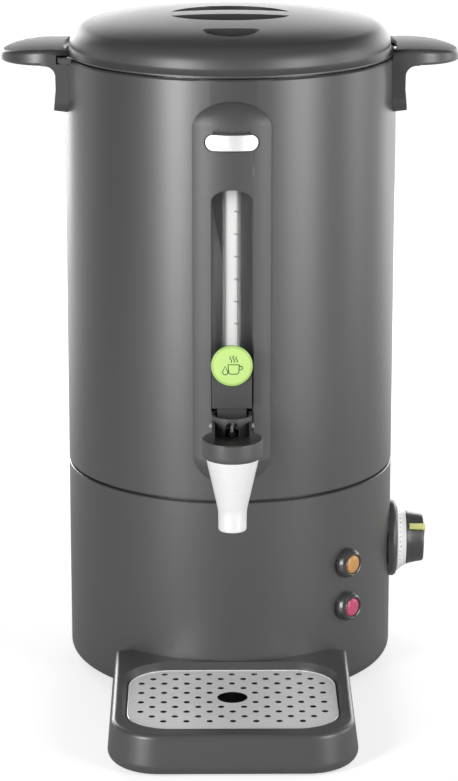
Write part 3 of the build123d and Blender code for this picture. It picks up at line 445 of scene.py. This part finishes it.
def tidy_copy(node):
    """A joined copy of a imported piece's mesh."""
    mesh = frame["nodes"][node].data.copy()
    work = bmesh.new()
    work.from_mesh(mesh)
    bmesh.ops.remove_doubles(work, verts=work.verts, dist=MERGE_WITHIN)
    bmesh.ops.dissolve_limit(work, angle_limit=COPLANAR_ANGLE, verts=work.verts, edges=work.edges)
    work.to_mesh(mesh)
    work.free()
    return mesh


def bake_modifiers(holder):
    """The mesh that an object's modifiers make."""
    evaluated = holder.evaluated_get(bpy.context.evaluated_depsgraph_get())
    mesh = bpy.data.meshes.new_from_object(evaluated)
    bpy.data.objects.remove(holder)
    return mesh


def all_smooth(mesh):
    mesh.polygons.foreach_set("use_smooth", [True] * len(mesh.polygons))


def smooth_mesh(mesh):
    """The mesh with its faces smoothed up to the edges, large faces counting for more."""
    all_smooth(mesh)
    mesh.set_sharp_from_angle(angle=EDGE_ANGLE)
    holder = new_object("holder", mesh)
    holder.modifiers.new("weigh", "WEIGHTED_NORMAL").keep_sharp = True
    return bake_modifiers(holder)


def place_piece(name, mesh, body, material=None, stands_for=()):
    """A finished mesh becomes a piece that rides on a body."""
    piece = new_object(name, mesh)
    if material:
        mesh.materials.clear()
        mesh.materials.append(material)
    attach(piece, body)
    if stands_for:
        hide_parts(*stands_for)
    return piece


def skin(node, material, turned=None):
    """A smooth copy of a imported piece, whose normals turned may write anew."""
    mesh = smooth_mesh(tidy_copy(node))
    mesh.name = node + "_skin"
    if turned:
        rewrite_normals(mesh, turned)
    return place_piece(node + "_skin", mesh, body_of[node], material, (node,))


# %% [markdown]
# ## Softer light on the front panel, the lid and the handles
# Shading follows the normals at a mesh's corners, and those can be written by hand. The panel's face is
# turned a little flatter than its bow, which hides the streaks of its long thin triangles. The lid's
# crown is turned down a little towards its shoulder, so that the light fades over the edge without a
# line where the two curves meet. A handle's flat top rolls forward a little, which shades it.


# %% Written normals
def rewrite_normals(mesh, turned):
    """Give each corner the normal that turned(place in mm, normal, face normal) returns, if any."""
    normals = [corner.vector.copy() for corner in mesh.corner_normals]
    count = 0
    for face in mesh.polygons:
        for index in face.loop_indices:
            spot = mesh.vertices[mesh.loops[index].vertex_index].co / MM
            normal = turned(spot, normals[index], face.normal)
            if normal:
                normals[index] = normal.normalized()
                count += 1
    mesh.normals_split_custom_set(normals)
    print(mesh.name, "corners turned:", count)


# %% The panel's normals
SURFACE_SLACK = 0.12         # millimetres that a corner may lie off the curve it belongs to
PANEL_AXIS_Y = -82.0         # the panel's bow is round an upright line here
PANEL_BOW_R = 36.0
PANEL_FLATTER = 0.6          # what is left of the sideways turn
SIDE_FROM = -0.5             # a corner whose normal's Y is above this isn't on the front
SAME_WAY = 0.92              # two directions whose product is above this are nearly the same


def flatter_panel(place, normal, face):
    if normal.y > SIDE_FROM:
        return None
    away = Vector((place.x, place.y - PANEL_AXIS_Y, 0))
    if abs(away.length - PANEL_BOW_R) < SURFACE_SLACK and face.dot(away.normalized()) > SAME_WAY:
        normal = away.normalized()
    return Vector((PANEL_FLATTER * normal.x, normal.y, normal.z))


# %% The lid's normals
LID_TOP_Z = 444.5
CROWN_RADIUS = 620.0
WELL_REACH = 57.0            # the crown inside this reach holds the finger well and keeps its own form
CROWN_REACH = 93.9           # the shoulder starts here
CROWN_EDGE_TILT = 8.7        # the crown's own slope there, in degrees
SKIRT_TOP_Z = 428.0
LID_TURN = 10.0              # degrees that the crown's edge is turned down
UPWARD, UPRIGHT = 0.9, 0.02  # a normal's Z above the first points up, and under the second is a wall's
SIDEWAYS_SLACK = 0.05
TILT_SLACK = 2.5             # degrees


def softer_lid(place, normal, face):
    reach = math.hypot(place.x, place.y)
    from_centre = place - Vector((0, 0, LID_TOP_Z - CROWN_RADIUS))
    if reach < WELL_REACH:
        on_crown = abs(from_centre.length - CROWN_RADIUS) < SURFACE_SLACK and face.z > UPWARD
        return from_centre if on_crown else None
    if normal.z < UPRIGHT or place.z < SKIRT_TOP_Z:
        return None
    out = Vector((place.x / reach, place.y / reach, 0))
    sideways = normal - out * normal.dot(out)
    if abs(sideways.x) > SIDEWAYS_SLACK or abs(sideways.y) > SIDEWAYS_SLACK:
        return None
    tilt = math.degrees(math.atan2(normal.dot(out), normal.z))
    if reach < CROWN_REACH:
        if abs(tilt - math.degrees(math.asin(reach / CROWN_RADIUS))) > TILT_SLACK:
            return None
        ease = (reach - WELL_REACH) / (CROWN_REACH - WELL_REACH)
        tilt += LID_TURN * ease * ease
    else:
        shoulder = 90.0 - CROWN_EDGE_TILT
        tilt = CROWN_EDGE_TILT + LID_TURN + (tilt - CROWN_EDGE_TILT) * (shoulder - LID_TURN) / shoulder
    tilt = math.radians(tilt)
    return out * math.sin(tilt) + Vector((0, 0, math.cos(tilt)))


# %% The handles' normals
PADDLE_FROM_Z = 420.0
PADDLE_HALF_WIDTH = 31.0
PADDLE_TILTS = (2.0, 10.0)   # degrees towards the front, at the paddle's back and at its front
FLAT_TOP = 0.95              # a face whose normal's Z is above this lies flat


def softer_handle(place, normal, face):
    if face.z < FLAT_TOP or place.z < PADDLE_FROM_Z:
        return None
    back, front = PADDLE_TILTS
    forward = (PADDLE_HALF_WIDTH - place.y) / (2 * PADDLE_HALF_WIDTH)
    tilt = math.radians(back + (front - back) * forward)
    return Vector((0, -math.sin(tilt), math.cos(tilt)))


# %% [markdown]
# ## A helper for Geometry Nodes
# What repeats is made by a node tree: named inputs for its sizes, and at its end Realize Instances and
# Set Material. The tree runs on an empty mesh, its result becomes a plain mesh, and nothing live stays.

# %% Tree helper
GEOMETRY, MATERIAL, INTEGER = "NodeSocketGeometry", "NodeSocketMaterial", "NodeSocketInt"


def socket_kind(label, value):
    if "Material" in label:
        return MATERIAL
    return INTEGER if isinstance(value, int) else FLOAT


class Recipe:
    """A geometry node tree under construction, with its inputs and their values."""

    def __init__(self, name, material, sizes):
        self.tree = bpy.data.node_groups.new(name, "GeometryNodeTree")
        self.values = {}
        for label, value in [*sizes.items(), ("Material", material)]:
            kind = socket_kind(label, value)
            socket = self.tree.interface.new_socket(label, in_out="INPUT", socket_type=kind)
            self.values[socket.identifier] = value
        self.tree.interface.new_socket("Geometry", in_out="OUTPUT", socket_type=GEOMETRY)
        self.given = self.tree.nodes.new("NodeGroupInput").outputs

    def add(self, kind, inputs=None, **settings):
        """A node with its settings, and its inputs linked or set."""
        node = self.tree.nodes.new(kind)
        for setting, value in settings.items():
            setattr(node, setting, value)
        for socket, value in (inputs or {}).items():
            if isinstance(value, bpy.types.NodeSocket):
                self.tree.links.new(value, node.inputs[socket])
            else:
                node.inputs[socket].default_value = value
        return node.outputs

    def sum(self, operation, a, b=0.0):
        """One step of arithmetic."""
        return self.add("ShaderNodeMath", {0: a, 1: b}, operation=operation)[0]

    def spot(self, x=0.0, y=0.0, z=0.0):
        """A place or a direction."""
        return self.add("ShaderNodeCombineXYZ", {0: x, 1: y, 2: z})[0]

    def length(self, vector):
        return self.add("ShaderNodeVectorMath", {0: vector}, operation="LENGTH")["Value"]

    def circle(self, radius, resolution):
        return self.add("GeometryNodeCurvePrimitiveCircle", {"Resolution": resolution, "Radius": radius})[0]

    def moved(self, geometry, place):
        """The geometry shifted by a place."""
        return self.add("GeometryNodeTransform", {"Geometry": geometry, "Translation": place})[0]

    def tube(self, line, profile, caps=False):
        """A profile swept along a line."""
        ends = {"Curve": line, "Profile Curve": profile, "Fill Caps": caps}
        return self.add("GeometryNodeCurveToMesh", ends)[0]

    def copies(self, points, instance, **more):
        """The instance set on each point."""
        given = {"Points": points, "Instance": instance, **more}
        return self.add("GeometryNodeInstanceOnPoints", given)[0]

    def join(self, *parts):
        node = self.tree.nodes.new("GeometryNodeJoinGeometry")
        for part in parts:
            self.tree.links.new(part, node.inputs[0])
        return node.outputs[0]

    def bake(self, geometry, marked=None):
        """End the tree, run it on an empty mesh and give back the plain mesh."""
        real = self.add("GeometryNodeRealizeInstances", {0: geometry})[0]
        coated = self.add("GeometryNodeSetMaterial", {0: real, "Material": self.given["Material"]})[0]
        if marked:
            chosen = self.add("GeometryNodeInputNamedAttribute", {"Name": marked}, data_type="BOOLEAN")[0]
            second = {0: coated, "Selection": chosen, "Material": self.given["Second Material"]}
            coated = self.add("GeometryNodeSetMaterial", second)[0]
        self.tree.links.new(coated, self.tree.nodes.new("NodeGroupOutput").inputs[0])
        holder = new_object("holder", bpy.data.meshes.new("holder"))
        grow = holder.modifiers.new("grow", "NODES")
        grow.node_group = self.tree
        for identifier, value in self.values.items():
            grow[identifier] = value
        mesh = bake_modifiers(holder)
        mesh.name = self.tree.name
        print(self.tree.name, "faces:", len(mesh.polygons))
        return mesh


# %% [markdown]
# ## The drip grille
# A sheet of brushed steel with staggered holes, a large hole under the spout, and an edge turned down
# all round, with a round bead along its bend coloured nearly white: a painted highlight for the thin
# line of light there. The holes' walls are coloured near black, painted shade for the dark seen
# through them. The holes follow a rule, so a node tree makes them: a grid with every second row moved
# half a pitch, less the points that come too near the rounded edge or the large hole. Fill Curve then
# cuts the circles out of the outline in one step.

# %% Grille outline
BEAD_R = 0.70 * MM
outline_sizes = {"Half Width": 67.5 * MM, "Front": -221.5 * MM, "Back": -115.8 * MM, "Corner": 28.0 * MM,
                 "Top": 26.0 * MM}


def middle_y(recipe):
    """The grille's middle along Y."""
    both = recipe.sum("ADD", recipe.given["Front"], recipe.given["Back"])
    return recipe.sum("MULTIPLY", both, 0.5)


def half_depth(recipe):
    """Half of the grille's size along Y."""
    run = recipe.sum("SUBTRACT", recipe.given["Back"], recipe.given["Front"])
    return recipe.sum("MULTIPLY", run, 0.5)


def rounded_outline(recipe, inset, z):
    """The grille's outline, moved in by an inset, as a closed curve at a height."""
    size = recipe.given
    width = recipe.sum("MULTIPLY", recipe.sum("SUBTRACT", size["Half Width"], inset), 2.0)
    depth = recipe.sum("MULTIPLY", recipe.sum("SUBTRACT", half_depth(recipe), inset), 2.0)
    box = recipe.add("GeometryNodeCurvePrimitiveQuadrilateral", {"Width": width, "Height": depth})[0]
    corner = {"Curve": box, "Radius": recipe.sum("SUBTRACT", size["Corner"], inset), "Count": 14}
    box = recipe.add("GeometryNodeFilletCurve", corner, mode="POLY")[0]
    return recipe.moved(box, recipe.spot(0.0, middle_y(recipe), z))


# %% Grille recipe
grille_steel = drawn("grille_steel", grey(0.97), 0.42, (12.0, 1400.0, 1400.0), 0.03, 0.20, metallic=0.25)
# The holes' walls are coloured near black: painted shade for the dark seen down through the holes.
painted_hole_shade = moulded("painted_hole_shade", grey(0.012), 0.6, 2000.0, 0.002, 0.02)
grille = Recipe("grille_sheet", grille_steel, {
    **outline_sizes, "Hole Radius": 2.05 * MM, "Hole Pitch": 14.7 * MM, "Row Pitch": 8.25 * MM,
    "Margin": 6.0 * MM, "Drain Radius": 9.7 * MM, "Drain Margin": 3.0 * MM, "Spout Y": -165.0 * MM,
    "Thickness": 0.6 * MM, "Columns": 9, "Rows": 11, "Second Material": painted_hole_shade})
print("grille inputs:", len(grille.values))


# %% Points of the holes
def staggered_points(recipe):
    """A grid round the spout's axis, with every second row moved half a pitch."""
    size = recipe.given
    span_x = recipe.sum("MULTIPLY", recipe.sum("SUBTRACT", size["Columns"], 1.0), size["Hole Pitch"])
    span_y = recipe.sum("MULTIPLY", recipe.sum("SUBTRACT", size["Rows"], 1.0), size["Row Pitch"])
    grid = {"Size X": span_x, "Size Y": span_y, "Vertices X": size["Columns"], "Vertices Y": size["Rows"]}
    points = recipe.add("GeometryNodeMeshGrid", grid)[0]
    row = recipe.sum("MODULO", recipe.add("GeometryNodeInputIndex")[0], size["Rows"])
    half_pitch = recipe.sum("MULTIPLY", size["Hole Pitch"], 0.5)
    shift = recipe.sum("MULTIPLY", recipe.sum("MODULO", row, 2.0), half_pitch)
    offset = recipe.spot(shift, size["Spout Y"])
    return recipe.add("GeometryNodeSetPosition", {"Geometry": points, "Offset": offset})[0]


def too_near_edge(recipe, place):
    """True where a point is less than the margin inside the outline or outside it."""
    size = recipe.given
    out_x = recipe.sum("ABSOLUTE", place["X"])
    out_y = recipe.sum("ABSOLUTE", recipe.sum("SUBTRACT", place["Y"], middle_y(recipe)))
    past_x = recipe.sum("SUBTRACT", out_x, recipe.sum("SUBTRACT", size["Half Width"], size["Corner"]))
    past_y = recipe.sum("SUBTRACT", out_y, recipe.sum("SUBTRACT", half_depth(recipe), size["Corner"]))
    corner = recipe.spot(recipe.sum("MAXIMUM", past_x, 0.0), recipe.sum("MAXIMUM", past_y, 0.0))
    straight = recipe.sum("MINIMUM", recipe.sum("MAXIMUM", past_x, past_y), 0.0)
    outside = recipe.sum("SUBTRACT", recipe.sum("ADD", recipe.length(corner), straight), size["Corner"])
    return recipe.sum("GREATER_THAN", outside, recipe.sum("MULTIPLY", size["Margin"], -1.0))


def too_near_drain(recipe, place):
    """True where a point is less than a margin from the large hole."""
    size = recipe.given
    from_spout = recipe.spot(place["X"], recipe.sum("SUBTRACT", place["Y"], size["Spout Y"]))
    clear = recipe.sum("ADD", size["Drain Radius"], size["Drain Margin"])
    return recipe.sum("LESS_THAN", recipe.length(from_spout), clear)


def hole_curves(recipe):
    """The circles of the small holes."""
    points = staggered_points(recipe)
    place = recipe.add("ShaderNodeSeparateXYZ", {0: recipe.add("GeometryNodeInputPosition")[0]})
    unwanted = recipe.sum("MAXIMUM", too_near_edge(recipe, place), too_near_drain(recipe, place))
    points = recipe.add("GeometryNodeDeleteGeometry", {"Geometry": points, "Selection": unwanted})[0]
    holes = recipe.copies(points, recipe.circle(recipe.given["Hole Radius"], 16))
    return recipe.add("GeometryNodeRealizeInstances", {0: holes})[0]


# %% Grille sheet
LIP_INSET, LIP_DROP = 4.0 * MM, 1.25 * MM
LIP_WIDTH, LIP_HEIGHT = 1.2 * MM, 2.6 * MM


def pierced_sheet(recipe, seat):
    """The outline filled round its holes and given its thickness, with the holes' walls marked for their
    painted shade.
    """
    size = recipe.given
    drain = recipe.moved(recipe.circle(size["Drain Radius"], 48), recipe.spot(0.0, size["Spout Y"]))
    cut = recipe.join(rounded_outline(recipe, BEAD_R, 0.0), hole_curves(recipe), drain)
    flat = recipe.add("GeometryNodeFillCurve", {"Curve": cut}, mode="TRIANGLES")[0]
    flat = recipe.moved(flat, recipe.spot(0.0, 0.0, seat))
    push = {"Mesh": flat, "Offset": recipe.spot(0.0, 0.0, size["Thickness"]), "Offset Scale": 1.0,
            "Individual": False}
    raised = recipe.add("GeometryNodeExtrudeMesh", push, mode="FACES")
    mark = {"Geometry": raised[0], "Name": "painted_hole_shade", "Value": raised["Side"]}
    raised = recipe.add("GeometryNodeStoreNamedAttribute", mark, data_type="BOOLEAN", domain="FACE")[0]
    return raised, recipe.add("GeometryNodeFlipFaces", {0: flat})[0]


def turned_lip(recipe, seat):
    """The strip that stands down under the sheet's edge."""
    line = rounded_outline(recipe, LIP_INSET, recipe.sum("SUBTRACT", seat, LIP_DROP))
    section = {"Width": LIP_WIDTH, "Height": LIP_HEIGHT}
    return recipe.tube(line, recipe.add("GeometryNodeCurvePrimitiveQuadrilateral", section)[0])


def closed_up(mesh):
    """The mesh with its doubles merged and its faces outwards."""
    work = bmesh.new()
    work.from_mesh(mesh)
    bmesh.ops.remove_doubles(work, verts=work.verts, dist=0.001 * MM)
    bmesh.ops.recalc_face_normals(work, faces=work.faces)
    work.to_mesh(mesh)
    work.free()
    return mesh


seat = grille.sum("SUBTRACT", grille.given["Top"], grille.given["Thickness"])
raised, under = pierced_sheet(grille, seat)
mesh = grille.bake(grille.join(raised, under, turned_lip(grille, seat)), marked="painted_hole_shade")
mesh = smooth_mesh(closed_up(mesh))
mesh.name = "grille_sheet"
place_piece("grille_sheet", mesh, body_of["grille"], stands_for=("grille",))

# %% Grille bead
BEAD_SUNK = 0.3 * MM
# The bead's near-white colour is a painted highlight for the thin line of light along the rolled edge, and
# its gloss also mirrors the lamps.
bead_painted_highlight = drawn("bead_painted_highlight", grey(1.0), 0.22, (400.0, 400.0, 400.0), 0.005, 0.03, metallic=0.3)
bead = Recipe("grille_bead", bead_painted_highlight, {"Bead Radius": BEAD_R, **outline_sizes})
bead_z = bead.sum("SUBTRACT", bead.given["Top"], BEAD_SUNK)
bead_line = rounded_outline(bead, bead.given["Bead Radius"], bead_z)
mesh = bead.bake(bead.tube(bead_line, bead.circle(bead.given["Bead Radius"], 8)))
all_smooth(mesh)
place_piece("grille_bead", mesh, body_of["grille"])

# %% [markdown]
# ## The lever's spring
# A few close turns of wire round the pivot pin push the lever back. Curve Spiral gives the turns and
# Curve to Mesh gives them the wire's thickness, which no row of separate rings would look like.

# %% Spring
SPRING_START = (5.95 * MM, -118.9 * MM, 195.0 * MM)     # on the pivot pin's axis
spring = Recipe("spring_coil", finishes["plated_steel"], {
    "Turns": 4.0, "Coil Radius": 2.25 * MM, "Wire Radius": 0.45 * MM, "Run": 3.3 * MM})
coil = spring.add("GeometryNodeCurveSpiral", {
    "Resolution": 20, "Rotations": spring.given["Turns"], "Start Radius": spring.given["Coil Radius"],
    "End Radius": spring.given["Coil Radius"], "Height": spring.given["Run"]})[0]
coil = spring.tube(coil, spring.circle(spring.given["Wire Radius"], 8), caps=True)
coil = spring.add("GeometryNodeTransform", {
    "Geometry": coil, "Rotation": (0.0, math.pi / 2, 0.0), "Translation": SPRING_START})[0]
mesh = spring.bake(coil)
all_smooth(mesh)
place_piece("spring_coil", mesh, body_of["lever_spring"],
            stands_for=("lever_spring",))

# %% [markdown]
# ## Marks on the level strip and on the dial
# Six short ticks show the water level beside the tube, and fine marks ring the thermostat's dial, every
# fifth one longer. Both are a bar repeated along a line or round a circle, so both are small trees.

# %% Level marks
TICK_X, STRIP_FACE_Y, TICK_THICKNESS = 2.6 * MM, -101.98 * MM, 0.08 * MM
level = Recipe("level_marks", mark_grey, {
    "Count": 6, "First Z": 332.0 * MM, "Step": -14.76 * MM, "Length": 1.7 * MM, "Width": 0.7 * MM})
line = level.add("GeometryNodeMeshLine", {
    "Count": level.given["Count"], "Offset": level.spot(0.0, 0.0, level.given["Step"]),
    "Start Location": level.spot(TICK_X, STRIP_FACE_Y, level.given["First Z"])})[0]
tick = level.add("GeometryNodeMeshCube", {
    "Size": level.spot(level.given["Length"], TICK_THICKNESS, level.given["Width"])})["Mesh"]
mesh = level.bake(level.copies(line, tick))
place_piece("level_marks", mesh, body_of["level_scale"])

# %% Dial marks
KNOB_Z = 80.0 * MM
DIAL_X = (115.05, 117.65)                # the dial ring's cone, from its wide end to its narrow one
DIAL_R = (23.0, 20.6)
DIAL_MIDDLE_X = (DIAL_X[0] + DIAL_X[1]) / 2 * MM
DIAL_SLOPE = math.atan2(DIAL_R[0] - DIAL_R[1], DIAL_X[1] - DIAL_X[0])
MARK_THICKNESS = 0.10 * MM
dial = Recipe("dial_marks", mark_grey, {
    "Count": 31, "Step": math.radians(9.0), "Radius": 21.8 * MM, "Length": 1.5 * MM, "Width": 0.32 * MM,
    "Longer By": 0.9})
steps = dial.add("GeometryNodeMeshLine", {"Count": dial.given["Count"], "Offset": (0.0, 0.0, 0.0)})[0]
index = dial.add("GeometryNodeInputIndex")[0]
half_count = dial.sum("MULTIPLY", dial.sum("SUBTRACT", dial.given["Count"], 1.0), 0.5)
angle = dial.sum("MULTIPLY", dial.sum("SUBTRACT", index, half_count), dial.given["Step"])
ring_y = dial.sum("MULTIPLY", dial.sum("MULTIPLY", dial.sum("COSINE", angle), dial.given["Radius"]), -1.0)
ring_z = dial.sum("MULTIPLY", dial.sum("SINE", angle), dial.given["Radius"])
on_ring = dial.spot(DIAL_MIDDLE_X, ring_y, dial.sum("ADD", ring_z, KNOB_Z))
steps = dial.add("GeometryNodeSetPosition", {"Geometry": steps, "Position": on_ring})[0]

# %% Dial bars
bar = dial.add("GeometryNodeMeshCube", {
    "Size": dial.spot(dial.given["Length"], MARK_THICKNESS, dial.given["Width"])})["Mesh"]
bar = dial.add("GeometryNodeTransform", {"Geometry": bar, "Rotation": (0.0, 0.0, DIAL_SLOPE)})[0]
fifth = dial.sum("LESS_THAN", dial.sum("MODULO", index, 5.0), 0.5)
longer = dial.sum("ADD", dial.sum("MULTIPLY", fifth, dial.given["Longer By"]), 1.0)
rotation = dial.add("FunctionNodeEulerToRotation", {0: dial.spot(dial.sum("MULTIPLY", angle, -1.0))})[0]
mesh = dial.bake(dial.copies(steps, bar, Rotation=rotation, Scale=dial.spot(longer, 1.0, 1.0)))
place_piece("dial_marks", mesh, body_of["dial_ring"])

# %% [markdown]
# ## The button and its sign
# The lever carries a lime green button with a slightly deeper green round its rim. On it is a simple
# sign for hot water, drawn here with a few thin strokes: a cup with a handle, steam above it and a drop
# beside it. The strokes are curves with a small round section, made into a mesh and laid on the
# button's slightly domed face.

# %% Button finish
BUTTON_Z = 236.0 * MM
RIM_STARTS = (11.5 * MM, 12.0 * MM)
RIM_GREEN = (0.40, 0.62, 0.17, 1)


def rimmed_button():
    """The lime moulding with another green from a radius on."""
    material = moulded("lime_button", LIME, 0.30, 700.0, 0.01, 0.03)
    tree = material.node_tree
    shader, effect = tree.nodes["Principled BSDF"], tree.nodes["Group"]
    place = apart(tree, coordinates(tree))
    height = math_node(tree, "SUBTRACT", place["Z"], BUTTON_Z)
    squares = [math_node(tree, "POWER", side, 2.0) for side in (place["X"], height)]
    radius = math_node(tree, "SQRT", math_node(tree, "ADD", *squares))
    mix = tree.nodes.new("ShaderNodeMix")
    mix.data_type = "RGBA"
    link(tree, fade(tree, radius, RIM_STARTS), mix.inputs["Factor"])
    link(tree, effect.outputs["Colour"], mix.inputs["A"])
    mix.inputs["B"].default_value = RIM_GREEN
    link(tree, mix.outputs["Result"], shader.inputs["Base Color"])
    return material


own_finish["lever_button"] = rimmed_button()
print("button finish:", own_finish["lever_button"].name)


# %% Strokes of the sign
def arc(x, z, radius, start, end, steps=12):
    """Points along a part of a circle; angles in degrees, anticlockwise from the right."""
    turns = [math.radians(start + (end - start) * i / steps) for i in range(steps + 1)]
    return [(x + radius * math.cos(a), z + radius * math.sin(a)) for a in turns]


def wave(x, z0, z1, swing=0.42, steps=12):
    """A wisp of steam."""
    parts = [i / steps for i in range(steps + 1)]
    return [(x + swing * math.sin(2 * math.pi * part), z0 + (z1 - z0) * part) for part in parts]


# Millimetres from the button's middle, before the sign is scaled.
CUP = [(-2.0, 1.1), (-1.7, -2.6), *arc(-0.5, -2.7, 1.2, 180, 270, 4), *arc(2.3, -2.7, 1.2, 270, 360, 4),
       (3.8, 1.1)]
CUP_RIM = [(-2.0, 1.1), (3.8, 1.1)]
CUP_EAR = [(3.7, 0.3), *arc(4.4, -0.65, 1.0, 75, -110, 10), (3.5, -1.9)]
DROP = [*arc(-3.4, -2.9, 1.35, -200, 20, 16), (-3.4, 0.2)]
STEAM = [wave(-0.6, 2.3, 5.4), wave(0.9, 2.3, 5.9), wave(2.4, 2.3, 5.4)]
print("sign strokes:", 4 + len(STEAM))

# %% Sign
BUTTON_BACK_Y = 122.05       # millimetres ahead of the urn's axis
STROKE_R = 0.30
STROKE_SUNK = 0.06
SIGN_SCALE, SIGN_DROP = 1.25, 0.3
DOME_R, DOME_OUT, DOME_FALL = 6.0, 3.0, 0.1
SLOPE_RUN, SLOPE_FALL = 5.65, 0.5


def face_height(radius):
    """How far the button's face stands out: a shallow dome, and a slope from its edge on."""
    if radius < DOME_R:
        return DOME_OUT - DOME_FALL * (radius / DOME_R)**2
    return DOME_OUT - DOME_FALL - SLOPE_FALL * (radius - DOME_R) / SLOPE_RUN


def add_stroke(curve, points, closed=False):
    """Lay a stroke of the sign on the button's face."""
    line = curve.splines.new("POLY")
    line.points.add(len(points) - 1)
    for point, (x, z) in zip(line.points, points):
        x, z = SIGN_SCALE * x, SIGN_SCALE * z - SIGN_DROP
        out = BUTTON_BACK_Y + face_height(math.hypot(x, z)) - STROKE_SUNK
        point.co = (x * MM, -out * MM, BUTTON_Z + z * MM, 1)
    line.use_cyclic_u = closed


curve = bpy.data.curves.new("button_sign", "CURVE")
curve.dimensions = "3D"
curve.bevel_depth = STROKE_R * MM
curve.bevel_resolution = 1
curve.use_fill_caps = True
for stroke in (CUP, CUP_RIM, CUP_EAR):
    add_stroke(curve, stroke)
add_stroke(curve, DROP, closed=True)
for stroke in STEAM:
    add_stroke(curve, stroke)
mesh = bake_modifiers(new_object("holder", curve))
mesh.name = "button_sign"
sign_ink = moulded("sign_ink", (0.02, 0.05, 0.015, 1), 0.5, 2000.0, 0.002, 0.02)
place_piece("button_sign", mesh, body_of["lever_button"], sign_ink)
print("sign faces:", len(mesh.polygons))

# %% [markdown]
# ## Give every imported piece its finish
# Small pieces and those inside, which are hardly seen, keep their plain mesh and only take their
# material. The others get a skin.

# %% Finish the pieces
PLAIN = ("inlet_nut", "tap_inlet", "inlet_gaskets", "heating_plate", "heating_element", "thermal_cutout",
         "terminal_block", "thermostat", "lamp_nuts", "lid_screws", "handle_screws", "level_scale",
         "tube_seals", "valve_plug", "pivot_pin", "tray_pads", "thermostat_shaft")
REMADE = ("grille", "lever_spring")
TURNED = {"front_panel": flatter_panel, "lid_shell": softer_lid,
          "left_handle": softer_handle, "right_handle": softer_handle}
for node, piece in frame["nodes"].items():
    if node in PLAIN:
        piece.data.materials.clear()
        piece.data.materials.append(finishes[slot_of[node]])
    elif node not in REMADE:
        skin(node, own_finish.get(node, finishes[slot_of[node]]), TURNED.get(node))
print("skins:", len(frame["nodes"]) - len(PLAIN) - len(REMADE))
